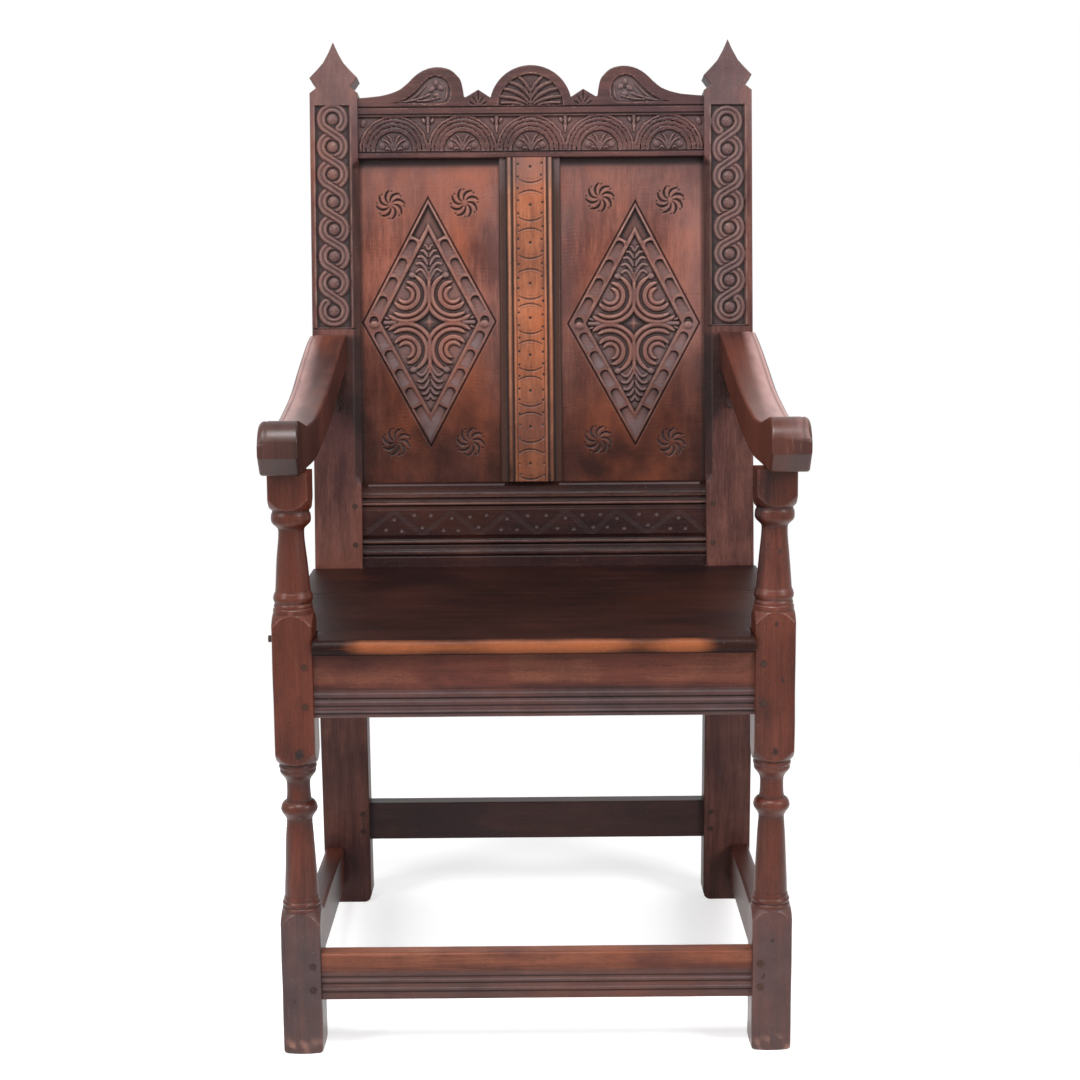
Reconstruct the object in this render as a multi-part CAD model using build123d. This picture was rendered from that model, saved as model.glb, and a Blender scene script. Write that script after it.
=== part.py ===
from build123d import *
import os
from math import cos, radians, sin, tan

# A joined oak armchair with a panelled back (a wainscot chair).
# Millimetres, +Z up, the sitter faces -Y, and the origin is at the middle of the
# footprint, on the floor. Right-hand pieces (+X) are drawn and mirrored to the left.

# ---- overall
seat_height = 460.0      # floor to the top of the seat
back_length = 680.0      # seat level to the tips of the finials, along the slope
back_lean = 6.67         # degrees that the stiles lean back above the seat
leg_kick = 2.18          # degrees that the back legs run back below the seat
frame_depth = 452.5      # front of the front posts to the stiles' faces, at the seat
post_spacing = 508.0     # centre to centre of the front posts
stile_spacing = 510.0    # centre to centre of the stiles

# ---- stock
post_size = 43.0
stile_width = 62.0
stile_depth = 35.0
rail_thick = 24.0
panel_thick = 9.0
seat_thick = 17.0
peg_size = 7.5           # diameter of the oak pegs

# ---- joints
tenon_thick = 9.0
tenon_gap = 0.15         # clearance on each cheek of a tenon
end_gap = 0.6            # clearance past the end of a tenon
peg_gap = 0.05           # clearance round a peg
tenon_wall = 7.0         # wood left between two tenons that cross in a stile
post_wall = 1.2          # the same in the thinner front posts
side_tenon = 25.0        # length of the tenons of the side rails and stretchers
tenon_step = 6.0         # how far a tenon is narrower than its rail, top and bottom
groove_depth = 8.0
tongue_thick = 5.5

# ---- front posts, heights of the turned lengths
foot_top = 158.0
seat_block_bottom = 323.5
seat_block_top = 484.5
arm_under = 635.0
top_block = 39.0         # length of the square under each arm
arch_height = 13.0       # how far the rounded corner of a block reaches along it
arm_tenon_radius = 11.0
arm_tenon_length = 30.0
# the turning: shares of the turned length, and of half the stock
lower_turning = (
    (0.021, 0.980), (0.033, 0.953), (0.063, 0.907), (0.100, 0.851), (0.350, 0.756),
    (0.613, 0.635), (0.650, 0.790), (0.686, 0.907), (0.722, 0.850), (0.737, 0.635),
    (0.807, 0.581), (0.870, 0.581), (0.906, 0.744), (0.931, 0.884), (0.964, 0.930),
    (0.988, 0.884),
)
upper_turning = (
    (0.045, 0.980), (0.058, 0.940), (0.099, 0.916), (0.144, 0.965), (0.193, 0.930),
    (0.211, 0.872), (0.534, 0.744), (0.713, 0.651), (0.794, 0.628), (0.839, 0.810),
    (0.901, 0.953), (0.960, 0.953), (0.987, 0.900),
)

# ---- seat rails and seat
rail_depth = 69.0
rail_inset = 3.0         # rails stand back this far from the posts' and stiles' faces
seat_front_lip = 12.0    # the seat's nosing past the front posts
seat_side_lip = 6.0      # and past the side rails' outer faces
seat_back_tongue = 13.0  # the seat runs this far in between the stiles
front_board = 278.0      # width of the front one of the two seat boards
board_gap = 0.5
seat_gap = 0.7           # the lower back rail clears the seat
rail_groove_depth = 1.6
front_rail_lines = (20.0, 17.0, 4.5)   # scratched lines, up from the lower edge
front_rail_step = 34.0                 # the sunk lower part of the front rail

# ---- stretchers, height of each lower edge and its depth
front_stretcher_z = 60.0
front_stretcher_depth = 52.5
front_stretcher_thick = 21.0
worn_edge = (11.0, 9.0)  # feet have worn its top edge: down its face, and back
rear_stretcher_z = 87.0
rear_stretcher_depth = 50.0
rear_stretcher_inset = 8.0
side_stretcher_z = 26.0  # at the back legs
side_stretcher_depth = 52.0
side_stretcher_rise = 28.0   # how much higher it joins the front post
stretcher_lines = (26.0, 21.0, 9.0)

# ---- back frame, along the slope from the seat level
lower_rail_top = 111.5
# its mouldings: the first bead and the band from its lower edge, the upper bead and
# the sill from its top
lower_moulds = (14.0, 41.0, 32.5, 16.5)
finial_height = 64.5
shoulder_rise = 6.0      # the stiles' shoulders above the crest's ends
crest_end_rise = 12.5    # the crest's ends above its fillet
fillet = 12.0
frieze_height = 44.5
crest_margin = 9.0       # plain edge of the crest under the frieze
crest_setback = 5.0      # faces of the back's rails behind the stiles' faces
muntin_width = 80.0
muntin_offset = -2.5     # the muntin stands a little off the middle
muntin_setback = 4.5
panel_recess = 12.0
chamfer = 9.0            # stopped chamfer on the stiles' inner edges
chamfer_stop = 12.0
foot_round = 10.0        # worn inner corners of the back feet
frieze_sink = 1.5

# ---- crest outline
arch_radius = 53.4
cusp_x = 68.0
cusp_half = 15.0
cusp_height = 9.5
bump_x = 120.0
bump_height = 39.0
bump_half = 33.3

# ---- finials, half-widths and heights above the stiles' shoulders
notch_half = 22.0
notch_rise = 7.0
wing_rise = 19.5
blade_half = 13.4
blade_rise = 39.3

# ---- arms
arm_overhang = 50.0      # scroll's front, ahead of the front posts
scroll_height = 56.5
arm_dip = 43.5           # depth of the arm at its dip
arm_rise = 81.0          # how far its underside climbs to the stile
arm_back_depth = 46.0
scroll_right = 281.5     # from the middle to the outer end of the right scroll
scroll_left = 276.0      # and of the left one: the old frame stands a little askew
scroll_width = 40.6
arm_bow = 3.0            # how far the arms bow outward between the ends
arm_back_out = 290.5
arm_back_width = 48.5
arm_tenon_width = 12.0
arm_tenon_depth = 21.0
arm_tenon_edge = 7.0
arm_sweep = ((0.24, 0.0), (0.41, 0.10), (0.58, 0.29), (0.76, 0.60), (0.93, 0.90))

# ---- places that follow
top_block_bottom = arm_under - top_block
arm_low = arm_under + arm_dip
arm_back_under = arm_under + arm_rise
arm_back_top = arm_back_under + arm_back_depth
shoulder_s = back_length - finial_height
crest_end = shoulder_s - shoulder_rise
fillet_top = crest_end - crest_end_rise
frieze_top = fillet_top - fillet
frieze_bottom = frieze_top - frieze_height
crest_bottom = frieze_bottom - crest_margin
lean = radians(back_lean)
overall_depth = (
    arm_overhang + frame_depth + back_length * sin(lean) + stile_depth * cos(lean)
)
post_front = -overall_depth / 2 + arm_overhang
post_back = post_front + post_size
post_inner = (post_spacing - post_size) / 2
post_outer = post_inner + post_size
stile_y = post_front + frame_depth
stile_inner = (stile_spacing - stile_width) / 2
stile_outer = stile_inner + stile_width
stile_mid = stile_spacing / 2
rail_top = seat_height - seat_thick
rail_bottom = rail_top - rail_depth
back_plane = Plane(
    origin=(0, stile_y, seat_height), x_dir=(1, 0, 0), z_dir=(0, -cos(lean), sin(lean))
)
tenon_front = panel_recess   # the back's tenons and grooves share this front line


def leg_y(z):
    """Y of the stiles' front faces at a height below the seat."""
    return stile_y + (seat_height - z) * tan(radians(leg_kick))


def stile_face(z):
    """Y of the stiles' front faces at a height above the seat."""
    return stile_y + (z - seat_height) * tan(lean)


def block(x, y, z):
    """A box between two values on each axis."""
    size = [high - low for low, high in (x, y, z)]
    middle = [(low + high) / 2 for low, high in (x, y, z)]
    return Pos(*middle) * Box(*size)


def grown(x, y, z, by, ends=0.0, end_axis=0):
    """The same box with a clearance all round, and more along the tenon."""
    spans = [[low - by, high + by] for low, high in (x, y, z)]
    spans[end_axis][0] -= ends
    spans[end_axis][1] += ends
    return block(*spans)


def on_back(shape):
    """Places a shape drawn in the back's own plane: X, up the slope, and out."""
    return back_plane.location * shape


def across(shape):
    """The left-hand twin of a right-hand shape."""
    return mirror(shape, about=Plane.YZ)


def both(shape):
    """A right-hand shape with its left-hand twin."""
    return [shape, across(shape)]


def prism_x(points, low, high):
    """A polygon of (Y, Z) points, run along X."""
    face = make_face(Plane.YZ * Polyline(*points, close=True))
    return Pos(low, 0, 0) * extrude(face, high - low, dir=(1, 0, 0))


def prism_z(points, low, high):
    """A polygon of (X, Y) points, run up Z."""
    face = make_face(Polyline(*points, close=True))
    return Pos(0, 0, low) * extrude(face, high - low, dir=(0, 0, 1))


def peg_bar(radius, length):
    """A split and shaved peg, eight-sided, standing on its end."""
    return Pos(0, 0, -length / 2) * extrude(
        RegularPolygon(radius, 8), length, dir=(0, 0, 1)
    )


def peg_y(x, y, z, radius):
    """A peg along Y between two values."""
    return Pos(x, (y[0] + y[1]) / 2, z) * Rot(90, 0, 0) * peg_bar(radius, y[1] - y[0])


def peg_x(x, y, z, radius):
    """A peg along X between two values."""
    return Pos((x[0] + x[1]) / 2, y, z) * Rot(0, 90, 0) * peg_bar(radius, x[1] - x[0])


# ---------------------------------------------------------------- skewed side bars
def side_line(y, inset):
    """X of the outer face of a side bar, flush at the post and at the stile."""
    share = (y - post_back) / (stile_y - post_back)
    return post_outer + (stile_outer - post_outer) * share - inset


def side_rise(y, rise):
    """How much higher a side bar is at a depth than it is at the stile."""
    return rise * (stile_y - y) / (stile_y - post_back)


def side_bar(inset, thick, y, z, rise):
    """A bar from post to stile: it follows the outer faces and may climb forward."""
    plan = [
        (side_line(y[0], inset), y[0]),
        (side_line(y[1], inset), y[1]),
        (side_line(y[1], inset) - thick, y[1]),
        (side_line(y[0], inset) - thick, y[0]),
    ]
    side = [
        (y[0], z[0] + side_rise(y[0], rise)),
        (y[1], z[0] + side_rise(y[1], rise)),
        (y[1], z[1] + side_rise(y[1], rise)),
        (y[0], z[1] + side_rise(y[0], rise)),
    ]
    return prism_z(plan, z[0] - rise, z[1] + 2 * rise) & prism_x(side, 0, 2 * stile_outer)


def side_tenon_bar(z, rise, gap=0.0, ends=0.0):
    """The line of the tenons at both ends of a side bar."""
    cheek = rail_inset + (rail_thick - tenon_thick) / 2 - gap
    span = (post_back - side_tenon - ends, leg_y(z[0]) + side_tenon + ends)
    height = (z[0] + tenon_step - gap, z[1] - tenon_step + gap)
    return side_bar(cheek, tenon_thick + 2 * gap, span, height, rise)


def side_rail(z, rise=0.0):
    """A side rail or stretcher with a tenon at each end."""
    between = prism_x(
        [
            (post_back, 0),
            (leg_y(0), 0),
            (leg_y(seat_height), seat_height),
            (post_back, seat_height),
        ],
        0,
        2 * stile_outer,
    )
    long_bar = side_bar(rail_inset, rail_thick, (post_back, leg_y(0)), z, rise)
    return (long_bar & between) + side_tenon_bar(z, rise)


# ---------------------------------------------------------------- pegs
peg_radius = peg_size / 2
peg_head = 0.6           # how far the pegs stand proud
peg_edge = 9.0           # from a joint's shoulder to its pegs
rail_peg_edge = 13.0     # from a rail's edges to its pegs
side_rail_peg_edge = 22.0
side_stretcher_peg_edge = 16.0
crest_peg_edge = 6.0
lower_peg_edge = 30.5
post_peg_depth = 28.0
stile_peg_depth = 30.0
side_peg_depth = 32.0


def post_pegs(radius, heights, tip=0.0):
    """Pegs through the front faces of the posts."""
    span = (post_front - peg_head, post_front + post_peg_depth + tip)
    return [peg_y(post_inner + peg_edge, span, z, radius) for z in heights]


def post_side_pegs(radius, heights, tip=0.0):
    """Pegs through the outer faces of the posts, for the side bars."""
    span = (post_outer - side_peg_depth - tip, post_outer + peg_head)
    return [peg_x(span, post_back - peg_edge, z, radius) for z in heights]


def leg_side_pegs(radius, heights, tip=0.0):
    """Pegs through the outer faces of the stiles, for the side bars."""
    span = (stile_outer - side_peg_depth - tip, stile_outer + peg_head)
    return [peg_x(span, leg_y(z) + peg_edge, z, radius) for z in heights]


def leg_pegs(radius, heights, tip=0.0):
    """Pegs through the front faces of the legs, for the rear rail and stretcher."""
    return [
        peg_y(
            stile_inner + peg_edge,
            (leg_y(z) - peg_head, leg_y(z) + stile_peg_depth + tip),
            z,
            radius,
        )
        for z in heights
    ]


def back_pegs(radius, heights, depths):
    """Pegs square to the back, at heights up the slope, between two depths."""
    length = depths[1] - depths[0]
    middle = -(depths[0] + depths[1]) / 2
    return [
        on_back(Pos(stile_inner + peg_edge, s, middle) * peg_bar(radius, length))
        for s in heights
    ]


def two_heights(z, edge=rail_peg_edge):
    """The heights of the two pegs in a rail."""
    return (z[0] + edge, z[1] - edge)


def climbed_heights(z):
    """The same for the front end of a side stretcher."""
    return [height + side_stretcher_rise for height in two_heights(z, side_stretcher_peg_edge)]


seat_rail_z = (rail_bottom, rail_top)
front_stretcher = (front_stretcher_z, front_stretcher_z + front_stretcher_depth)
rear_stretcher = (rear_stretcher_z, rear_stretcher_z + rear_stretcher_depth)
side_stretcher = (side_stretcher_z, side_stretcher_z + side_stretcher_depth)
side_bars = ((seat_rail_z, 0.0), (side_stretcher, side_stretcher_rise))
lower_rail_pegs = (lower_peg_edge, lower_rail_top - lower_peg_edge)
crest_pegs = (frieze_bottom + crest_peg_edge, fillet_top - crest_peg_edge)
crest_peg_depths = (8.0, stile_depth + peg_head)
lower_peg_depths = (-peg_head, stile_peg_depth)
arm_peg_z = (arm_back_top + arm_back_under) / 2
arm_peg_y = stile_face(arm_peg_z) + peg_edge
arm_peg_x = (stile_outer - side_peg_depth, stile_outer + peg_head)
pin_drop = 48.7          # short pins in the stiles' faces, this far under the arms
pin_depths = (-4.0, 16.0)
pin_s = (arm_back_under - seat_height) / cos(lean) - pin_drop
stub_reach = (12.0, 5.5)  # a peg stub in and out of the left post's side
stub_drop = 27.5         # and how far it is under that length's top
stub_x = (post_outer - stub_reach[0], post_outer + stub_reach[1])
stub_y = post_front + post_size * 0.45
stub_z = seat_block_top - stub_drop


def all_holes(gap):
    """Every peg of the right-hand side, with a gap round it: name to solids."""
    r = peg_radius + gap
    tip = end_gap if gap else 0.0
    crest_span = (crest_peg_depths[0] - tip, crest_peg_depths[1])
    lower_span = (lower_peg_depths[0], lower_peg_depths[1] + tip)
    pin_span = (pin_depths[0], pin_depths[1] + tip)
    middle = -(pin_span[0] + pin_span[1]) / 2
    pin = Pos(stile_mid, pin_s, middle) * peg_bar(r, pin_span[1] - pin_span[0])
    arm_span = (arm_peg_x[0] - tip, arm_peg_x[1])
    return {
        "pegs_front_rail": post_pegs(r, two_heights(seat_rail_z), tip),
        "pegs_front_stretcher": post_pegs(r, two_heights(front_stretcher), tip),
        "pegs_rear_rail": leg_pegs(r, two_heights(seat_rail_z), tip),
        "pegs_rear_stretcher": leg_pegs(r, two_heights(rear_stretcher), tip),
        "pegs_side_rails": post_side_pegs(r, two_heights(seat_rail_z, side_rail_peg_edge), tip)
        + leg_side_pegs(r, two_heights(seat_rail_z, side_rail_peg_edge), tip),
        "pegs_side_stretchers": post_side_pegs(r, climbed_heights(side_stretcher), tip)
        + leg_side_pegs(r, two_heights(side_stretcher, side_stretcher_peg_edge), tip),
        "pegs_lower_back_rail": back_pegs(r, lower_rail_pegs, lower_span),
        "pegs_crest_rail": back_pegs(r, crest_pegs, crest_span),
        "pegs_arms": [peg_x(arm_span, arm_peg_y, arm_peg_z, r)],
        "pins_under_arms": [on_back(pin)],
    }


holes = [hole for group in all_holes(peg_gap).values() for hole in group]


# ---------------------------------------------------------------- front posts
def turned_length(shares, low, high):
    """Section points of a turned length between two square ones."""
    return [(post_size / 2 * r, low + share * (high - low)) for share, r in shares]


def square_end(z, way):
    """Section points where a square length's corners are rounded off to the turning."""
    wide = post_size * 0.75
    half = post_size / 2 * 0.98
    points = [
        (wide, z - way * arch_height),
        (half + (wide - half) * 0.5, z - way * arch_height * 0.3),
        (half, z),
    ]
    return points if way > 0 else points[::-1]


def turned_profile():
    """Half the section of a post: its square lengths stay wider than the stock."""
    wide = post_size * 0.75
    return [
        (0, 0),
        (wide, 0),
        *square_end(foot_top, 1),
        *turned_length(lower_turning, foot_top, seat_block_bottom),
        *square_end(seat_block_bottom, -1),
        *square_end(seat_block_top, 1),
        *turned_length(upper_turning, seat_block_top, top_block_bottom),
        *square_end(top_block_bottom, -1),
        (wide, arm_under),
        (0, arm_under),
    ]


def front_post_right():
    profile = make_face(Plane.XZ * Polyline(*turned_profile(), close=True))
    turned = revolve(profile, Axis.Z)
    square = Pos(0, 0, arm_under / 2) * Box(post_size, post_size, arm_under)
    tenon = Pos(0, 0, arm_under) * Cylinder(
        arm_tenon_radius, arm_tenon_length, align=(Align.CENTER, Align.CENTER, Align.MIN)
    )
    post = Pos(post_spacing / 2, post_front + post_size / 2, 0) * ((turned & square) + tenon)
    for z in (seat_rail_z, front_stretcher):
        post -= grown(*front_tenon(z), tenon_gap, end_gap, 0)
    for z, rise in side_bars:
        post -= side_tenon_bar(z, rise, tenon_gap, end_gap)
    for hole in holes:
        post -= hole
    return post


# ---------------------------------------------------------------- rails across
front_face = post_front + rail_inset + 1.0
front_mid_y = front_face + rail_thick / 2
post_tenon = (
    post_outer - rail_inset - (rail_thick + tenon_thick) / 2 - post_wall - post_inner
)
stile_tenon = (
    stile_outer - rail_inset - (rail_thick + tenon_thick) / 2 - tenon_wall - stile_inner
)


def front_tenon(z):
    """The right-hand tenon of a rail between the front posts, as spans."""
    y = (front_mid_y - tenon_thick / 2, front_mid_y + tenon_thick / 2)
    return (
        (post_inner, post_inner + post_tenon),
        y,
        (z[0] + tenon_step, z[1] - tenon_step),
    )


def lined_face(z, lines, step=0.0, reach=post_inner):
    """Cutters for the scratched lines and the sunk part of a front rail."""
    face = front_face
    cutters = []
    for line in lines:
        middle = z[0] + line
        points = [
            (face - 1, middle - 1.6),
            (face + rail_groove_depth, middle),
            (face - 1, middle + 1.6),
        ]
        cutters.append(prism_x(points, -reach, reach))
    if step:
        points = [
            (face - 1, z[0] - 1),
            (face + 1.0, z[0] - 1),
            (face + 1.0, z[0] + step),
            (face - 1, z[0] + step + 2.5),
        ]
        cutters.append(prism_x(points, -reach, reach))
    return cutters


def worn_cutter(z):
    """The hollow that feet have worn along the top edge of the front stretcher."""
    low = (front_face, z[1] - worn_edge[0])
    high = (front_face + worn_edge[1], z[1])
    bulge = (front_face + worn_edge[1] * 0.2, z[1] - worn_edge[0] * 0.3)
    corner = (front_face - 1, z[1] + 1)
    edges = [
        ThreePointArc(low, bulge, high),
        Line(high, (high[0], corner[1])),
        Line((high[0], corner[1]), corner),
        Line(corner, (corner[0], low[1])),
        Line((corner[0], low[1]), low),
    ]
    face = make_face([Plane.YZ * edge for edge in edges])
    return Pos(-post_inner, 0, 0) * extrude(face, 2 * post_inner, dir=(1, 0, 0))


def front_bar(z, thick, lines, step=0.0, worn=False):
    """A rail or stretcher between the front posts."""
    bar = block((-post_inner, post_inner), (front_face, front_face + thick), z)
    for cutter in lined_face(z, lines, step):
        bar -= cutter
    if worn:
        bar -= worn_cutter(z)
    for tenon in both(block(*front_tenon(z))):
        bar += tenon
    for hole in holes:
        for shape in both(hole):
            bar -= shape
    return bar


def rear_span(z, inset):
    """Y of a straight rail between the stiles below the seat."""
    front = leg_y(z[1]) + inset
    return (front, front + rail_thick)


def rear_tenon(z, inset):
    y = rear_span(z, inset)
    middle = (y[0] + y[1]) / 2
    return (
        (stile_inner, stile_inner + stile_tenon),
        (middle - tenon_thick / 2, middle + tenon_thick / 2),
        (z[0] + tenon_step, z[1] - tenon_step),
    )


def rear_bar(z, inset):
    """A rail or stretcher between the stiles below the seat."""
    bar = block((-stile_inner, stile_inner), rear_span(z, inset), z)
    for tenon in both(block(*rear_tenon(z, inset))):
        bar += tenon
    for hole in holes:
        for shape in both(hole):
            bar -= shape
    return bar


# ---------------------------------------------------------------- back frame
def back_block(x, s, depths):
    """A box in the back's plane: X, up the slope, and depths behind the face."""
    return block(x, s, (-depths[1], -depths[0]))


tenon_depths = (tenon_front, tenon_front + tenon_thick)
crest_tenon_s = (crest_bottom + groove_depth, fillet_top + 4.0)
lower_tenon_s = (seat_gap + tenon_step, lower_rail_top - groove_depth)
back_tenon = stile_tenon + 4.0


def back_tenon_block(s, gap=0.0, ends=0.0):
    x = (stile_inner - ends, stile_inner + back_tenon + ends)
    depths = (tenon_depths[0] - gap, tenon_depths[1] + gap)
    return back_block(x, (s[0] - gap, s[1] + gap), depths)


def finial():
    """The outline of a stile's top, about its middle, from the shoulder up."""
    half = stile_width / 2
    tip = back_length - shoulder_s
    right = [
        Line((half, 0), (notch_half, notch_rise)),
        Line((notch_half, notch_rise), (half, wing_rise)),
        ThreePointArc((half, wing_rise), (blade_half, blade_rise), (0, tip)),
    ]
    left = [mirror(line, about=Plane.YZ) for line in right]
    outline = right + left + [Line((-half, 0), (half, 0))]
    face = make_face(outline)
    return Pos(stile_mid, shoulder_s, -stile_depth) * extrude(
        face, stile_depth, dir=(0, 0, 1)
    )


def chamfer_cutter():
    """The stopped chamfer beside the panel, run out at both ends."""
    section = [
        (stile_inner - 1, 1),
        (stile_inner + chamfer + 1, 1),
        (stile_inner - 1, -chamfer - 1),
    ]
    face = make_face(Plane.XZ * Polyline(*section, close=True))
    low = lower_rail_top - 6.0
    high = crest_bottom + 2.0
    long_cut = Pos(0, high, 0) * extrude(face, high - low, dir=(0, -1, 0))
    stops = Plane.YZ * Polyline(
        (low, 2), (low + chamfer_stop + 2, -chamfer - 2), (high - chamfer_stop - 2, -chamfer - 2),
        (high, 2), close=True
    )
    window = Pos(stile_inner - 5, 0, 0) * extrude(
        make_face(stops), stile_width, dir=(1, 0, 0)
    )
    return long_cut & window


def stile_right():
    """A back leg and stile in one, with its finial."""
    back_at = stile_depth / cos(lean)
    knee = seat_height
    foot = leg_y(0)
    points = [(stile_y, knee), (foot, 0), (foot + back_at, 0), (stile_y + back_at, knee)]
    leg = prism_x(points, stile_inner, stile_outer)
    round_centre = Pos(stile_inner + foot_round, stile_y, foot_round)
    corner = block(
        (stile_inner - 1, stile_inner + foot_round), (0, overall_depth), (-1, foot_round)
    )
    leg -= corner - round_centre * Rot(90, 0, 0) * Cylinder(foot_round, overall_depth)
    upper = on_back(back_block((stile_inner, stile_outer), (-20, shoulder_s), (0, stile_depth)))
    above = block(
        (0, 2 * stile_outer), (-overall_depth, overall_depth), (knee, knee + 2 * back_length)
    )
    stile = (upper & above) + leg + on_back(finial())
    stile -= on_back(chamfer_cutter())
    groove = back_block(
        (stile_inner - 1, stile_inner + groove_depth + tenon_gap),
        (lower_tenon_s[1], crest_tenon_s[0]),
        (panel_recess - tenon_gap, panel_recess + tongue_thick + tenon_gap),
    )
    stile -= on_back(groove)
    for s in (crest_tenon_s, lower_tenon_s):
        stile -= on_back(back_tenon_block(s, tenon_gap, end_gap))
    stile -= grown(*rear_tenon(seat_rail_z, rail_inset), tenon_gap, end_gap, 0)
    stile -= grown(*rear_tenon(rear_stretcher, rear_stretcher_inset), tenon_gap, end_gap, 0)
    for z, rise in side_bars:
        stile -= side_tenon_bar(z, rise, tenon_gap, end_gap)
    stile -= arm_back_tenon(tenon_gap, end_gap)
    for hole in holes:
        stile -= hole
    return stile


def crest_outline():
    """The scrolled top edge of the crest, right half, from the middle to the end."""
    arch_foot = (arch_radius**2 - (crest_end - fillet_top) ** 2) ** 0.5
    foot_share = 0.7071
    arch_mid = (arch_radius * foot_share, fillet_top + arch_radius * foot_share)
    inner = bump_x - bump_half
    top = crest_end + bump_height
    span = stile_inner - bump_x
    return [
        ThreePointArc((0, fillet_top + arch_radius), arch_mid, (arch_foot, crest_end)),
        Line((arch_foot, crest_end), (cusp_x, crest_end + cusp_height)),
        Line((cusp_x, crest_end + cusp_height), (cusp_x + cusp_half, crest_end)),
        Line((cusp_x + cusp_half, crest_end), (inner, crest_end)),
        ThreePointArc(
            (inner, crest_end),
            (bump_x - bump_half * 0.75, crest_end + bump_height * 0.72),
            (bump_x, top),
        ),
        Spline(
            (bump_x, top),
            (bump_x + span * 0.28, crest_end + bump_height * 0.73),
            (bump_x + span * 0.47, crest_end + bump_height * 0.28),
            (bump_x + span * 0.72, crest_end + bump_height * 0.06),
            (stile_inner, crest_end),
            tangents=((1, 0), (1, -0.05)),
        ),
    ]


def crest_rail():
    right = crest_outline()
    left = [mirror(edge, about=Plane.YZ) for edge in right]
    closing = [
        Line((stile_inner, crest_end), (stile_inner, crest_bottom)),
        Line((stile_inner, crest_bottom), (-stile_inner, crest_bottom)),
        Line((-stile_inner, crest_bottom), (-stile_inner, crest_end)),
    ]
    face = make_face(right + left + closing)
    rail = Pos(0, 0, -crest_setback - rail_thick) * extrude(face, rail_thick, dir=(0, 0, 1))
    frieze = (crest_setback - 1, crest_setback + frieze_sink)
    rail -= back_block((-stile_inner, stile_inner), (frieze_bottom, frieze_top), frieze)
    half_disc = Cylinder(arch_radius - 10.0, frieze_sink * 2)
    half_disc &= block((-stile_inner, stile_inner), (0.0, arch_radius), (-9, 9))
    rail -= Pos(0, fillet_top + 1.5, -crest_setback) * half_disc
    for middle in (frieze_top + 3.5, frieze_bottom - 1.0):
        groove = [(middle - 1.3, 1), (middle, -1.3), (middle + 1.3, 1)]
        rail -= Pos(0, 0, -crest_setback) * prism_x(groove, -stile_inner, stile_inner)
    for tenon in both(back_tenon_block(crest_tenon_s)):
        rail += tenon
    panels = back_block(
        (-stile_inner - 1, stile_inner + 1),
        (crest_bottom - 1, crest_bottom + groove_depth + tenon_gap),
        (panel_recess - tenon_gap, panel_recess + tongue_thick + tenon_gap),
    )
    rail -= panels
    rail -= muntin_tenon(True, tenon_gap, end_gap)
    return drilled(on_back(rail))


def drilled(piece):
    """A piece between the stiles with its peg holes on both sides."""
    for hole in holes:
        for shape in both(hole):
            piece -= shape
    return piece


def lower_rail_section():
    """The moulded face of the lower rail: (depth behind its face, up the slope)."""
    top = lower_rail_top
    low, band, bead, sill = lower_moulds
    return [
        Line((0, 0), (0, low)),
        Line((0, low), (1.2, low)),
        ThreePointArc((1.2, low), (-1.0, low * 1.32), (1.2, low * 1.64)),
        Line((1.2, low * 1.64), (3.5, low * 1.86)),
        ThreePointArc((3.5, low * 1.86), (-0.5, low * 2.29), (1.5, band - 4)),
        Line((1.5, band - 4), (0.8, band)),
        Line((0.8, band), (0.8, top - bead - 3)),
        Line((0.8, top - bead - 3), (2.5, top - bead)),
        ThreePointArc((2.5, top - bead), (-1.0, top - bead + 4.5), (2.5, top - bead + 9)),
        Line((2.5, top - bead + 9), (4.0, top - sill - 5)),
        Line((4.0, top - sill - 5), (1.5, top - sill - 3)),
        Line((1.5, top - sill - 3), (1.5, top - sill)),
        ThreePointArc((1.5, top - sill), (4.8, top - sill / 2), (5.0, top - sill / 5)),
        Line((5.0, top - sill / 5), (3.2, top)),
        Line((3.2, top), (rail_thick, top)),
        Line((rail_thick, top), (rail_thick, 0)),
        Line((rail_thick, 0), (0, 0)),
    ]


def lower_back_rail():
    plane = Plane(origin=(-stile_inner, 0, -crest_setback), x_dir=(0, 0, -1), z_dir=(1, 0, 0))
    face = make_face([plane * edge for edge in lower_rail_section()])
    rail = extrude(face, 2 * stile_inner, dir=(1, 0, 0))
    for tenon in both(back_tenon_block(lower_tenon_s)):
        rail += tenon
    rail -= back_block(
        (-stile_inner - 1, stile_inner + 1),
        (lower_rail_top - groove_depth - tenon_gap, lower_rail_top + 1),
        (panel_recess - tenon_gap, panel_recess + tongue_thick + tenon_gap),
    )
    rail -= muntin_tenon(False, tenon_gap, end_gap)
    seat_space = (seat_height - 50, seat_height + seat_gap)
    rail = on_back(rail) - block((-stile_inner, stile_inner), (0, overall_depth), seat_space)
    return drilled(rail)


muntin_thick = rail_thick - 1.0
muntin_x = (muntin_offset - muntin_width / 2, muntin_offset + muntin_width / 2)


def muntin_tenon(top, gap=0.0, ends=0.0):
    """The stub tenon at one end of the muntin."""
    reach = groove_depth + 8.0
    if top:
        s = (crest_bottom - 1, crest_bottom + reach + ends)
    else:
        s = (lower_rail_top - reach - ends, lower_rail_top + 1)
    x = (muntin_x[0] + groove_depth + 6 - gap, muntin_x[1] - groove_depth - 6 + gap)
    return back_block(x, s, (tenon_depths[0] - gap, tenon_depths[1] + gap))


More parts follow.
